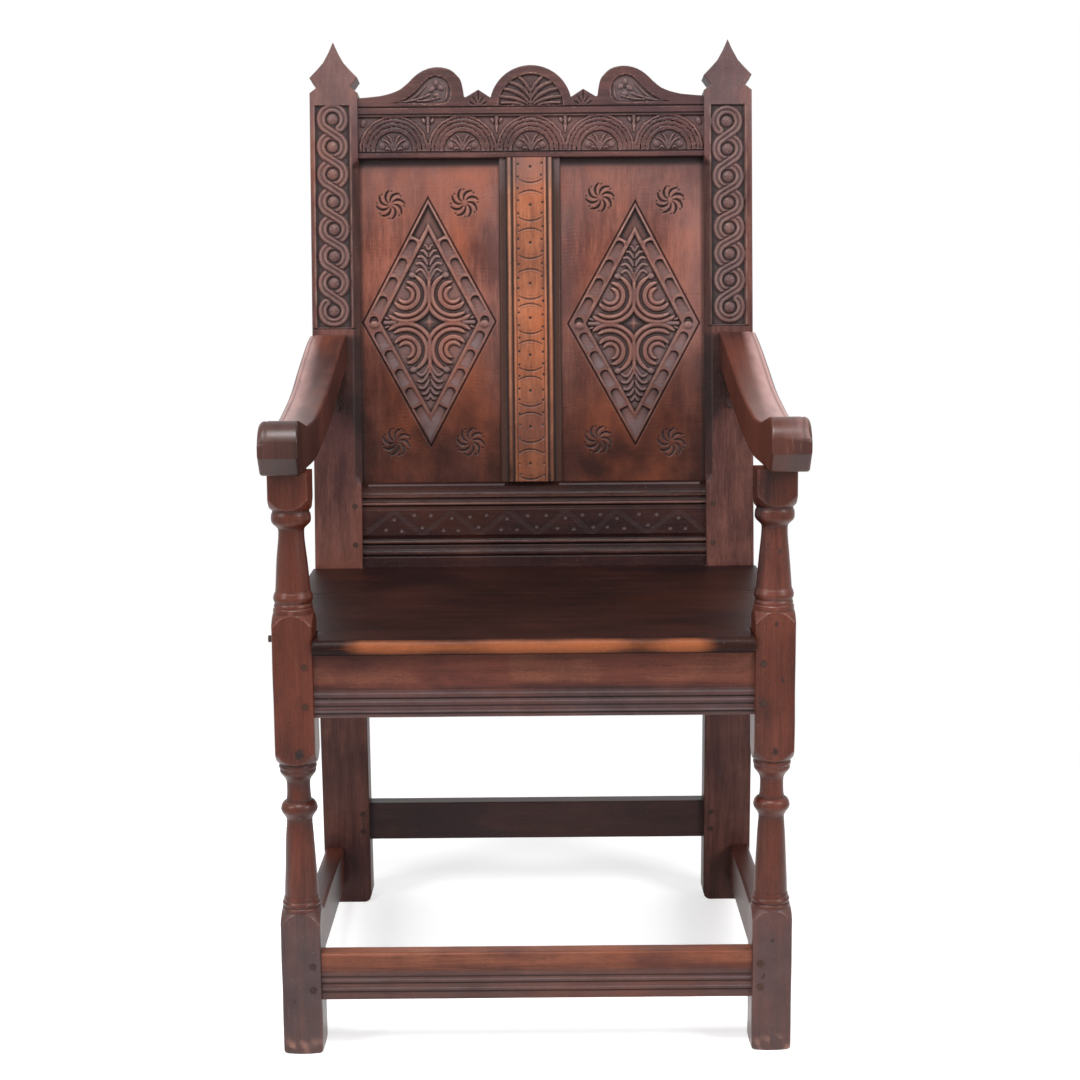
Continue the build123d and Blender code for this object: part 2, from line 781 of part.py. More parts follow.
def muntin_section():
    """Across the muntin: a flat middle, and a bead and hollow down each edge."""
    half = muntin_width / 2
    field = half - 20.5
    return [
        Line((0, 0), (field, 0)),
        Line((field, 0), (field + 1.0, 1.6)),
        ThreePointArc((field + 1.0, 1.6), (field + 5.0, -0.2), (field + 9.0, 1.8)),
        Line((field + 9.0, 1.8), (field + 10.0, 3.0)),
        ThreePointArc((field + 10.0, 3.0), (field + 14.0, 4.4), (half - 3.5, 4.0)),
        Line((half - 3.5, 4.0), (half, 6.0)),
        Line((half, 6.0), (half, muntin_thick)),
        Line((half, muntin_thick), (0, muntin_thick)),
    ]


def muntin():
    plane = Plane(
        origin=(muntin_offset, lower_rail_top, -muntin_setback),
        x_dir=(1, 0, 0),
        z_dir=(0, 1, 0),
    )
    half = muntin_section()
    twin = [mirror(edge, about=Plane.YZ) for edge in half]
    face = make_face([plane * edge for edge in half + twin])
    bar = extrude(face, crest_bottom - lower_rail_top, dir=(0, 1, 0))
    groove = (panel_recess - tenon_gap, panel_recess + tongue_thick + tenon_gap)
    for edge, inward in ((muntin_x[0], 1), (muntin_x[1], -1)):
        ends = sorted((edge - inward, edge + inward * (groove_depth + tenon_gap)))
        bar -= back_block(ends, (lower_rail_top - 1, crest_bottom + 1), groove)
    bar += muntin_tenon(True) + muntin_tenon(False)
    return on_back(bar)


def panel(x):
    """A back panel: a flat board, bevelled behind to fit its grooves."""
    x = (x[0] - groove_depth + 1.0, x[1] + groove_depth - 1.0)
    s = (lower_rail_top - groove_depth + 1.0, crest_bottom + groove_depth - 1.0)
    flat = panel_thick - tongue_thick
    bevel = 26.0
    front = back_block(x, s, (panel_recess, panel_recess + tongue_thick))
    middle = ((x[0] + x[1]) / 2, (s[0] + s[1]) / 2)
    inner = (x[1] - x[0] - 2 * groove_depth - 2, s[1] - s[0] - 2 * groove_depth - 2)
    plane = Plane(
        origin=(middle[0], middle[1], -panel_recess - tongue_thick),
        x_dir=(1, 0, 0),
        z_dir=(0, 0, -1),
    )
    wide = plane * Rectangle(*inner)
    narrow = plane.offset(flat) * Rectangle(inner[0] - 2 * bevel, inner[1] - 2 * bevel)
    return on_back(front + loft([wide, narrow]))


# ---------------------------------------------------------------- seat
seat_join = post_front - seat_front_lip + front_board


def seat_half_width(y):
    return side_line(y, rail_inset) + seat_side_lip


def seat_plan(y):
    """The seat's plan between two depths: its sides follow the side rails."""
    return prism_z(
        [
            (-seat_half_width(y[0]), y[0]),
            (seat_half_width(y[0]), y[0]),
            (seat_half_width(y[1]), y[1]),
            (-seat_half_width(y[1]), y[1]),
        ],
        rail_top,
        seat_height,
    )


def seat_board_front():
    front = post_front - seat_front_lip
    nose = seat_thick / 2
    section = [
        Line((seat_join - board_gap / 2, rail_top), (front + nose, rail_top)),
        ThreePointArc(
            (front + nose, rail_top), (front, rail_top + nose), (front + nose, seat_height)
        ),
        Line((front + nose, seat_height), (seat_join - board_gap / 2, seat_height)),
        Line((seat_join - board_gap / 2, seat_height), (seat_join - board_gap / 2, rail_top)),
    ]
    face = make_face([Plane.YZ * edge for edge in section])
    reach = 2 * stile_outer
    board = Pos(-reach, 0, 0) * extrude(face, 2 * reach, dir=(1, 0, 0))
    board &= seat_plan((front, seat_join))
    notch = block(
        (post_inner - board_gap, reach), (front - 5, post_back + board_gap), (0, seat_height + 1)
    )
    for cut in both(notch):
        board -= cut
    return board


def seat_board_rear():
    back = stile_y + seat_back_tongue
    board = seat_plan((seat_join + board_gap / 2, back))
    notch = block(
        (stile_inner - board_gap, 2 * stile_outer), (stile_y - board_gap, back + 5), (0, seat_height + 1)
    )
    for cut in both(notch):
        board -= cut
    return board


# ---------------------------------------------------------------- arms
def arm_curve(low, high, face_y):
    """Points of the arm's top or underside, from the dip back to the stile."""
    run = face_y - post_front
    return [
        (post_front + share * run, low + rise * (high - low)) for share, rise in arm_sweep
    ] + [(face_y, high)]


def arm_back_tenon(gap=0.0, ends=0.0):
    """The tenon of the right arm in its stile."""
    middle = stile_mid + 4.0
    half = arm_tenon_width / 2 + gap
    z = (arm_back_under + arm_tenon_edge - gap, arm_back_top - arm_tenon_edge + gap)
    points = [
        (stile_face(z[0]) - 4, z[0]),
        (stile_face(z[0]) + arm_tenon_depth + ends, z[0]),
        (stile_face(z[1]) + arm_tenon_depth + ends, z[1]),
        (stile_face(z[1]) - 4, z[1]),
    ]
    return prism_x(points, middle - half, middle + half)


def arm_side():
    """The arm seen from its side, run wide across X."""
    scroll_r = scroll_height / 2
    eye = (post_front - arm_overhang + scroll_r, arm_under + scroll_r)
    top = arm_curve(arm_low, arm_back_top, stile_face(arm_back_top))
    under = arm_curve(arm_under, arm_back_under, stile_face(arm_back_under))
    crown = (eye[0], eye[1] + scroll_r)
    foot = (eye[0], eye[1] - scroll_r)
    outline = [
        Spline(*([crown] + top), tangents=((1, 0), (1, 0.42))),
        Line(top[-1], under[-1]),
        Spline(*reversed(under), tangents=((-1, -0.42), (-1, 0))),
        Line(under[0], foot),
        ThreePointArc(foot, (eye[0] - scroll_r, eye[1]), crown),
    ]
    return extrude(make_face([Plane.YZ * edge for edge in outline]), 2 * stile_outer, dir=(1, 0, 0))


def arm_plan(scroll_out):
    """The arm seen from above, bowed outward between its ends."""
    front = post_front - arm_overhang - scroll_height / 10
    back = stile_face(arm_back_top)
    middle = (front + back) / 2
    outer = ((scroll_out, front), (arm_back_out, back))
    inner = (
        (arm_back_out - arm_back_width, back),
        (scroll_out - scroll_width, front),
    )
    outer_middle = ((outer[0][0] + outer[1][0]) / 2 + arm_bow, middle)
    inner_middle = ((inner[0][0] + inner[1][0]) / 2 + arm_bow, middle)
    edges = [
        ThreePointArc(outer[0], outer_middle, outer[1]),
        Line(outer[1], inner[0]),
        ThreePointArc(inner[0], inner_middle, inner[1]),
        Line(inner[1], outer[0]),
    ]
    return extrude(make_face(edges), 2 * arm_back_top, dir=(0, 0, 1))


def arm(scroll_out):
    """A right-hand arm, with its tenon, its post's socket and its peg's hole."""
    shape = (arm_side() & arm_plan(scroll_out)) + arm_back_tenon()
    shape -= Pos(post_spacing / 2, post_front + post_size / 2, arm_under - 1) * Cylinder(
        arm_tenon_radius + tenon_gap,
        arm_tenon_length + end_gap + 1,
        align=(Align.CENTER, Align.CENTER, Align.MIN),
    )
    for hole in holes:
        shape -= hole
    return shape


# ---------------------------------------------------------------- assembly
def build_parts():
    """Every node of the chair: name to one solid or a list of solids."""
    parts = {
        "crest_rail": crest_rail(),
        "lower_back_rail": lower_back_rail(),
        "muntin": muntin(),
        "panel_left": panel((-stile_inner, muntin_x[0])),
        "panel_right": panel((muntin_x[1], stile_inner)),
        "front_seat_rail": front_bar(
            seat_rail_z, rail_thick, front_rail_lines, front_rail_step
        ),
        "rear_seat_rail": rear_bar(seat_rail_z, rail_inset),
        "seat_board_front": seat_board_front(),
        "seat_board_rear": seat_board_rear(),
        "front_stretcher": front_bar(
            front_stretcher, front_stretcher_thick, stretcher_lines, worn=True
        ),
        "rear_stretcher": rear_bar(rear_stretcher, rear_stretcher_inset),
    }
    sided = {
        "front_post": front_post_right(),
        "stile": stile_right(),
        "side_seat_rail": drilled(side_rail(seat_rail_z)),
        "side_stretcher": drilled(side_rail(side_stretcher, side_stretcher_rise)),
    }
    for name, shape in sided.items():
        parts[name + "_right"] = shape
        parts[name + "_left"] = across(shape)
    parts["arm_right"] = arm(scroll_right)
    parts["arm_left"] = across(arm(scroll_left))
    stub = across(peg_x(stub_x, stub_y, stub_z, peg_radius))
    stub_hole = across(
        peg_x((stub_x[0] - end_gap, stub_x[1]), stub_y, stub_z, peg_radius + peg_gap)
    )
    parts["front_post_left"] -= stub_hole
    for name, pegs in all_holes(0).items():
        parts[name] = pegs + [across(peg) for peg in pegs]
    parts["pegs_side_rails"].append(stub)
    return parts


os.makedirs("parts", exist_ok=True)
for node, shape in build_parts().items():
    solids = Compound(children=shape) if isinstance(shape, list) else shape
    export_step(solids, f"parts/{node}.step")
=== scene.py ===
import math

import bpy
import numpy as np
from mathutils import Matrix, Vector


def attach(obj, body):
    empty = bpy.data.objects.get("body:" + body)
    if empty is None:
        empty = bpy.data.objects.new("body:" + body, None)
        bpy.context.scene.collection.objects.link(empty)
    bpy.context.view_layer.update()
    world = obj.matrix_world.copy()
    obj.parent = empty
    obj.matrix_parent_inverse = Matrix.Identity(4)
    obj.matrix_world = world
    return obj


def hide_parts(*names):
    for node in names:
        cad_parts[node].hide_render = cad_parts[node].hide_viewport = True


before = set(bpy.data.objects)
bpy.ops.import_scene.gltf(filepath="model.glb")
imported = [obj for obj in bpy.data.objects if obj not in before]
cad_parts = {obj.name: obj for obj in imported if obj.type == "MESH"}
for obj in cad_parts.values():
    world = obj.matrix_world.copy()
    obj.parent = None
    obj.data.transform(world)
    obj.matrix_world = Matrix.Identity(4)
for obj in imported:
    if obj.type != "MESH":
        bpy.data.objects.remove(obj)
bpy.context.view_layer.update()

# The wainscot chair's looks. Lengths are in millimetres in the row frame until make()
# writes a mesh, in metres. On the back, x runs across, s up the slope from the seat's
# top, and out forwards from the stiles' faces.
LEAN = math.radians(6.67)      # of the back, above the seat
KICK = math.radians(2.18)      # of the back legs, below it
YP = -258.1228                 # front of the front posts
YS = YP + 452.5                # faces of the stiles, at the seat
SEAT = 460.0
POST_X, POST = 254.0, 43.0     # front posts: middle and stock
STILE_IN, STILE_OUT = 224.0, 286.0
STILE_MID, STILE_HALF = 255.0, 31.0
STILE_DEEP = 35.0
SIDE_OUT = 275.5               # outer line of the side members, at the posts
RAIL_Z = (374, 443)            # all seat rails
RAIL_THICK = 24
SILL, LINTEL = 111.5, 531.5    # up the back: top of its lower rail, foot of its crest
RAIL_SET, MUNTIN_SET, PANEL_SET = 5, 4.5, 12     # behind the stiles' faces
RNG = np.random.default_rng(7)


# ------------ numbers
def unit(value):
    """A value kept between 0 and 1."""
    return np.clip(value, 0, 1)


def above(value, low, span):
    """0 up to a level, and 1 from a span above it."""
    return unit((value - low) / span)


def below(value, high, span):
    """0 down to a level, and 1 from a span below it."""
    return unit((high - value) / span)


def fade(distance, width):
    """1 at no distance, 0 from a width on."""
    return unit(1 - distance / width)


def near(a, b, reach):
    """0 from a reach on, and 1 where a is close to b."""
    return unit(reach - abs(a - b))


def lift(field, at, value):
    """Raise a field to a value where it is lower."""
    field[at] = np.maximum(field[at], value)


def wobble(p, size, seed):
    """Smooth hand-made unevenness from a few sines, about -1 to 1."""
    rng = np.random.default_rng(seed)
    total = 0
    for _ in range(7):
        k = rng.normal(size=3) / size
        total = total + np.sin(p @ k * 2 * math.pi + rng.uniform(0, 6.3))
    return total / 3.5


def eased(d, r):
    """How far a surface falls at distance d from an edge rounded with radius r."""
    t = np.clip(r - d, 0, r)
    return r - np.sqrt(np.maximum(r * r - t * t, 0))


def lines(low, high, step, *extra):
    """Grid lines between two values, with more at the given places."""
    n = max(2, int(round((high - low) / step)) + 1)
    every = [np.linspace(low, high, n), *map(np.atleast_1d, extra)]
    return np.unique(np.concatenate(every).round(4))


# ------------ meshes
def dress(obj, finish):
    obj.data.materials.clear()
    obj.data.materials.append(finish[1])


def make(node_name, finish, verts, quads, ngons, attrs):
    """The piece that stands for a node: vertices in mm, quads and a few larger faces."""
    name = node_name + "_oak"
    mesh = bpy.data.meshes.new(name)
    loops = np.concatenate([quads.ravel(), *map(np.asarray, ngons)]).astype(np.int32)
    sizes = [4] * len(quads) + [len(n) for n in ngons]
    starts = np.cumsum([0] + sizes[:-1]).astype(np.int32)
    mesh.vertices.add(len(verts))
    mesh.vertices.foreach_set("co", (verts * 0.001).ravel())
    mesh.loops.add(len(loops))
    mesh.loops.foreach_set("vertex_index", loops)
    mesh.polygons.add(len(starts))
    mesh.polygons.foreach_set("loop_start", starts)
    mesh.update(calc_edges=True)
    mesh.validate()
    for key, value in attrs.items():
        layer = mesh.attributes.new(key, "FLOAT", "POINT")
        layer.data.foreach_set("value", value.astype(np.float32).ravel())
    count = len(mesh.polygons)
    mesh.polygons.foreach_set("use_smooth", np.arange(count) < count - len(ngons))
    mesh.set_sharp_from_angle(angle=math.radians(40))
    obj = bpy.data.objects.new(name, mesh)
    bpy.context.scene.collection.objects.link(obj)
    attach(obj, "root")
    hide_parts(node_name)
    dress(obj, finish)


def grid(cols, rows):
    """x and s of a board's places, from those of its columns and rows."""
    return cols[:, None] + 0 * rows[None, :], rows[None, :] + 0 * cols[:, None]


def grid_quads(n, m, wrap=False):
    """Quads of an n by m grid of vertices, the second index running fastest."""
    i, j = np.meshgrid(np.arange(n if wrap else n - 1), np.arange(m - 1), indexing="ij")
    a, b = i * m + j, (i + 1) % n * m + j
    return np.stack([a, b, b + 1, a + 1], -1).reshape(-1, 4)


def on_back(x, s, out):
    """Points of the leaning back and its legs."""
    low = np.minimum(s, 0)
    high = np.maximum(s, 0)
    y = YS + high * math.sin(LEAN) - low * math.tan(KICK)
    tilt = np.where(s < 0, 0.0, LEAN)
    y = y - out * np.cos(tilt)
    z = SEAT + high * math.cos(LEAN) + low + out * np.sin(tilt)
    return np.stack([x + 0 * y, y, z], -1)


def board(name, finish, x, s, out, behind, looks, back_rows=()):
    """A member of the back from a grid of columns across and rows up.

    out: its front. behind: where its plain rear lies. back_rows: the rows that the
    rear has as well, besides the first and the last.
    """
    n, m = x.shape
    rows = sorted({0, m - 1, *back_rows})
    k = len(rows)
    front = on_back(x, s, out).reshape(-1, 3)
    rear = on_back(x[:, rows], s[:, rows], -behind + 0 * x[:, rows]).reshape(-1, 3)
    base = n * m
    i = np.arange(n - 1)
    lower = [i * m, base + i * k, base + (i + 1) * k, (i + 1) * m]
    upper = [i * m + m - 1, (i + 1) * m + m - 1, base + (i + 1) * k + k - 1, base + i * k + k - 1]
    quads = [grid_quads(n, m), grid_quads(n, k)[:, ::-1] + base,
             np.stack(lower, -1), np.stack(upper, -1)]
    last, rear_last = (n - 1) * m, base + (n - 1) * k
    ngons = []
    for r, (a, b) in enumerate(zip(rows[:-1], rows[1:])):
        ngons.append([base + r, *range(a, b + 1), base + r + 1])
        ngons.append([rear_last + r + 1, *range(last + b, last + a - 1, -1), rear_last + r])
    attrs = {}
    for key, value in looks.items():
        # the plain rear is darker wood all over, through the "shade" attribute
        plain = np.full(n * k, 0.8 if key == "shade" else 0.0)
        attrs[key] = np.concatenate([(value + 0 * x).ravel(), plain])
    make(name, finish, np.concatenate([front, rear]), np.concatenate(quads), ngons, attrs)


def loft(name, finish, rings, looks):
    """A piece through rings of equally many points, with flat ends."""
    n, m, _ = rings.shape
    verts = rings.transpose(1, 0, 2).reshape(-1, 3)
    first = np.arange(m) * n
    attrs = {k: (v + np.zeros((n, m))).T for k, v in looks.items()}
    make(name, finish, verts, grid_quads(m, n, wrap=True), [first[::-1], first + n - 1], attrs)


def round_ring(a0, a1, b0, b1, radii, counts=(8, 8), steps=4):
    """A rounded rectangle, anticlockwise from its lower left, as (a, b) points.

    radii: corners at (a0, b0), (a1, b0), (a1, b1), (a0, b1). counts: extra points
    along the sides in a and in b.
    """
    r = np.minimum(radii, min(a1 - a0, b1 - b0) * 0.49)
    corners = [(a0, b0, 1, 1, 180), (a1, b0, -1, 1, 270), (a1, b1, -1, -1, 0), (a0, b1, 1, -1, 90)]
    points = []
    for k, (a, b, u, v, start) in enumerate(corners):
        t = np.radians(start + np.linspace(0, 90, steps + 1))
        arc = np.stack([a + u * r[k] + r[k] * np.cos(t), b + v * r[k] + r[k] * np.sin(t)], -1)
        points.append(arc)
        a2, b2, u2, v2, start2 = corners[(k + 1) % 4]
        r2, t2 = r[(k + 1) % 4], math.radians(start2)
        end = np.array([a2 + u2 * r2 + r2 * math.cos(t2), b2 + v2 * r2 + r2 * math.sin(t2)])
        share = np.linspace(0, 1, counts[k % 2] + 2)[1:-1, None]
        points.append(arc[-1] + (end - arc[-1]) * share)
    return np.concatenate(points)


# ------------ materials
# near black: dirt and painted shade in hollows, cuts and corners
DIRT_AND_SHADE = (0.010, 0.006, 0.006)
DUST_AND_SHEEN = (0.120, 0.086, 0.088)
SPECK = (0.26, 0.17, 0.14)


def tree_of(mat):
    mat.use_nodes = True
    tree = mat.node_tree
    tree.nodes.clear()
    return tree


def node(tree, kind, inputs=None, **props):
    new = tree.nodes.new(kind)
    for key, value in props.items():
        setattr(new, key, value)
    for key, value in (inputs or {}).items():
        if isinstance(value, bpy.types.NodeSocket):
            tree.links.new(value, new.inputs[key])
        else:
            new.inputs[key].default_value = value
    return new


def oak(name, slot, grain, dark, light, worn, rough=0.4, dust=0.5, sheen=0.2, patch=0.4,
        bumps=0.35, rise=1.0, painted_glints=0.25, fine=1.0):
    """Old waxed oak: the record's slot for it, and its material.

    grain: its axis. dust: pale specks. patch: warm clouds. bumps: depth of the pores.
    rise: the pattern's scale along Z. painted_glints: painted highlights, pale glints on
    worn wood. fine: scale of the streaks and pores. Attributes of the mesh say where the
    wood is darker ("cav": dirt and painted shade in hollows), worn (on the arms' tops
    also a painted sheen), in painted shade (on plain rears, darker wood), dusty (in places
    a painted highlight), or lighter or darker in tone (painted light and shade in places).
    """
    mat = bpy.data.materials.new(name)
    tree = tree_of(mat)

    def sums(kind, a, b, clamp=False):
        new = node(tree, "ShaderNodeMath", {0: a, 1: b}, operation=kind, use_clamp=clamp)
        return new.outputs[0]

    def plus(a, b):
        return sums("ADD", a, b)

    def times(a, b, clamp=False):
        return sums("MULTIPLY", a, b, clamp)

    def ramp(value, low, high):
        sockets = {0: value, 1: low, 2: high}
        return node(tree, "ShaderNodeMapRange", sockets, interpolation_type="SMOOTHSTEP").outputs[0]

    def mix(share, a, b):
        new = node(tree, "ShaderNodeMix", data_type="RGBA", blend_type="MIX")
        for key, value in ((0, share), (6, a), (7, b)):
            if isinstance(value, bpy.types.NodeSocket):
                tree.links.new(value, new.inputs[key])
            else:
                new.inputs[key].default_value = (*value, 1)
        return new.outputs[2]

    where = node(tree, "ShaderNodeTexCoord").outputs["Object"]

    def noise(scale, detail, rough_=0.55, stretch=1.0):
        size = [scale] * 3
        size["XYZ".index(grain)] = scale * stretch
        size[2] *= rise
        spot = node(tree, "ShaderNodeMapping", {"Vector": where, "Scale": size}).outputs[0]
        sockets = {"Vector": spot, "Scale": 1.0, "Detail": detail, "Roughness": rough_}
        return node(tree, "ShaderNodeTexNoise", sockets).outputs["Fac"]

    def attribute(key):
        return node(tree, "ShaderNodeAttribute", attribute_name=key).outputs["Fac"]

    blotch = noise(9, 5, 0.6)
    bands = noise(90, 4, 0.6, 0.06)
    streak = noise(420 * fine, 3, 0.6, 0.035)
    pores = noise(1500 * fine, 2, 0.5, 0.05)
    tone = plus(times(bands, 0.35), times(streak, 0.25))
    tone = plus(tone, times(blotch, 0.5))
    # the "tone" attribute: lighter or darker wood, and painted shade and sheen on the posts' sides
    # and the right panel
    tone = plus(tone, times(attribute("tone"), 0.3))
    colour = mix(ramp(tone, 0.40, 0.78), dark, light)
    warm = ramp(noise(6.0, 4, 0.55, 0.45), 0.48, 0.62)
    colour = mix(times(warm, patch), colour, (light[0] * 1.12, light[1] * 0.84, light[2] * 0.55))
    murk = ramp(noise(8.7, 4, 0.6, 0.5), 0.50, 0.64)
    colour = mix(times(murk, 0.6), colour, (dark[0] * 0.9, dark[1], dark[2] * 1.4))
    # the worn colour where the "wear" attribute says; on the arms' tops and the muntin's beads it
    # is also a painted sheen and highlights
    patchy = times(attribute("wear"), plus(noise(60, 5, 0.65, 0.25), 0.3))
    colour = mix(ramp(patchy, 0.10, 0.80), colour, worn)
    # painted glints: pale flecks on worn wood that stand for highlights
    glint = times(ramp(noise(560, 2, 0.5, 0.5), 0.55, 0.68), times(patchy, painted_glints))
    colour = mix(glint, colour, [min(1.0, c * 1.7) for c in worn])
    pore = ramp(pores, 0.40, 0.30)
    colour = mix(times(pore, min(0.5, 14 * bumps**3)), colour, [c * 0.4 for c in dark])
    # painted shade where the "shade" attribute says; on the plain rears of the back it darkens the
    # wood all over
    shade = times(attribute("shade"), plus(noise(20, 4), 0.1))
    colour = mix(shade, colour, [c * 0.35 for c in dark])
    # grey dust where the "dust" attribute says; on the sill's top arris, the front rails' arrises
    # and the right panel by its stile it is a painted highlight and sheen
    colour = mix(times(attribute("dust"), plus(noise(45, 4), 0.3), True), colour, DUST_AND_SHEEN)
    # darkened where the "cav" attribute says: dirt and painted shade in hollows and cuts, and
    # rougher there
    dirt_and_shade = times(attribute("cav"), 1.0, True)
    colour = mix(dirt_and_shade, colour, DIRT_AND_SHADE)
    colour = mix(times(ramp(noise(700, 2, 0.5), 0.69, 0.77), dust), colour, SPECK)
    height = plus(times(pore, -2 * bumps), times(streak, 0.5))
    height = plus(height, times(noise(120, 3, 0.5, 0.3), 0.8))
    sockets = {"Height": height, "Strength": bumps, "Distance": 0.0006}
    bump = node(tree, "ShaderNodeBump", sockets).outputs[0]
    gloss = plus(times(streak, 0.08), rough - 0.04)
    gloss = plus(gloss, times(dirt_and_shade, 0.25))
    sockets = {"Base Color": colour, "Roughness": gloss, "Normal": bump,
               "Specular IOR Level": sheen}
    shader = node(tree, "ShaderNodeBsdfPrincipled", sockets)
    out = node(tree, "ShaderNodeOutputMaterial")
    tree.links.new(shader.outputs[0], out.inputs[0])
    return slot, mat


# name, slot, grain; then the dark, the light and the worn colour
RED_WORN = (0.24, 0.105, 0.070)
BACK = oak("oak_back_z", "oak_back", "Z",
           (0.040, 0.013, 0.011), (0.150, 0.058, 0.045), (0.205, 0.120, 0.098))
CREST = oak("oak_back_x", "oak_back", "X",
            (0.030, 0.012, 0.011), (0.105, 0.042, 0.036), (0.21, 0.112, 0.093), painted_glints=0.9)
LOWER = oak("oak_back_low", "oak_back", "X",
            (0.009, 0.0029, 0.0027), (0.043, 0.0150, 0.0125), (0.15, 0.075, 0.06), sheen=0.14)
PANEL = oak("oak_panel", "oak_panel", "Z", (0.066, 0.018, 0.012), (0.232, 0.081, 0.055),
            (0.29, 0.15, 0.115), dust=0.3, sheen=0.14, patch=0.75)
MUNTIN = oak("oak_muntin", "oak_muntin", "Z",
             (0.110, 0.034, 0.018), (0.350, 0.118, 0.056), (0.40, 0.18, 0.10), patch=0.7)
FRAME_Z = oak("oak_frame_z", "oak_frame", "Z", (0.021, 0.0055, 0.0042),
              (0.114, 0.031, 0.0195), (0.28, 0.13, 0.09), 0.33, sheen=0.25)
FRAME_X = oak("oak_frame_x", "oak_frame", "X", (0.030, 0.0105, 0.0095),
              (0.125, 0.038, 0.026), (0.30, 0.13, 0.07), sheen=0.14, patch=0.75)
LOW_X = oak("oak_stretcher", "oak_frame", "X",
            (0.045, 0.0155, 0.012), (0.185, 0.062, 0.036), (0.34, 0.15, 0.075), sheen=0.14)
# its pale lilac worn colour is wear, and on the arms' tops a painted sheen
FRAME_Y = oak("oak_frame_y", "oak_frame", "Y", (0.026, 0.0075, 0.0055), (0.105, 0.033, 0.023),
              (0.34, 0.19, 0.175), 0.37, sheen=0.32, bumps=0.1, rise=0.05, painted_glints=0.0, fine=0.35)
SEAT_OAK = oak("oak_seat", "oak_seat", "X", (0.008, 0.0029, 0.0025),
               (0.030, 0.0098, 0.0072), (0.22, 0.066, 0.026), 0.42, sheen=0.09, bumps=0.2)
REAR = oak("oak_rear", "oak_frame", "X", (0.018, 0.009, 0.009), (0.052, 0.026, 0.027), RED_WORN)
PEG = oak("oak_peg", "oak_peg", "Y", (0.022, 0.010, 0.008), (0.055, 0.026, 0.020), RED_WORN)


# ------------ carving
def to_line(x, s, points):
    """Distance from places to a polyline, and how far along it the nearest point is."""
    best, along, total = np.full(x.shape, 1e9), np.zeros(x.shape), 0.0
    for a, b in zip(points[:-1], points[1:]):
        d = (b[0] - a[0], b[1] - a[1])
        length = math.hypot(*d)
        if length < 1e-6:
            continue
        t = unit(((x - a[0]) * d[0] + (s - a[1]) * d[1]) / length**2)
        dist = np.hypot(x - a[0] - t * d[0], s - a[1] - t * d[1])
        nearer = dist < best
        best = np.where(nearer, dist, best)
        along = np.where(nearer, total + t * length, along)
        total += length
    return best, along / total


def within(x, s, points):
    """Whether places lie inside a polygon."""
    inside = np.zeros(x.shape, bool)
    for a, b in zip(points, points[1:] + points[:1]):
        if a[1] == b[1]:
            continue
        crosses = (a[1] > s) != (b[1] > s)
        inside ^= crosses & (x < (b[0] - a[0]) * (s - a[1]) / (b[1] - a[1]) + a[0])
    return inside


def arc(c, r, start, end, n=14):
    """Points of an arc, angles in degrees."""
    t = np.radians(np.linspace(start, end, n))
    return [(c[0] + r * math.cos(a), c[1] + r * math.sin(a)) for a in t]


def bend(a, b, c, n=9):
    """Points of a curve from a to c, pulled towards b."""
    t = np.linspace(0, 1, n)[:, None]
    a, b, c = map(np.array, (a, b, c))
    return [tuple(p) for p in (1 - t) ** 2 * a + 2 * t * (1 - t) * b + t**2 * c]


def spread(a, n, axis):
    """A box blur over 2n + 1 grid lines."""
    pad = [(0, 0)] * a.ndim
    pad[axis] = (n + 1, n)
    c = np.cumsum(np.pad(a, pad, "edge"), axis)
    size = a.shape[axis]
    full = 2 * n + 1
    return (c.take(range(full, full + size), axis) - c.take(range(size), axis)) / full


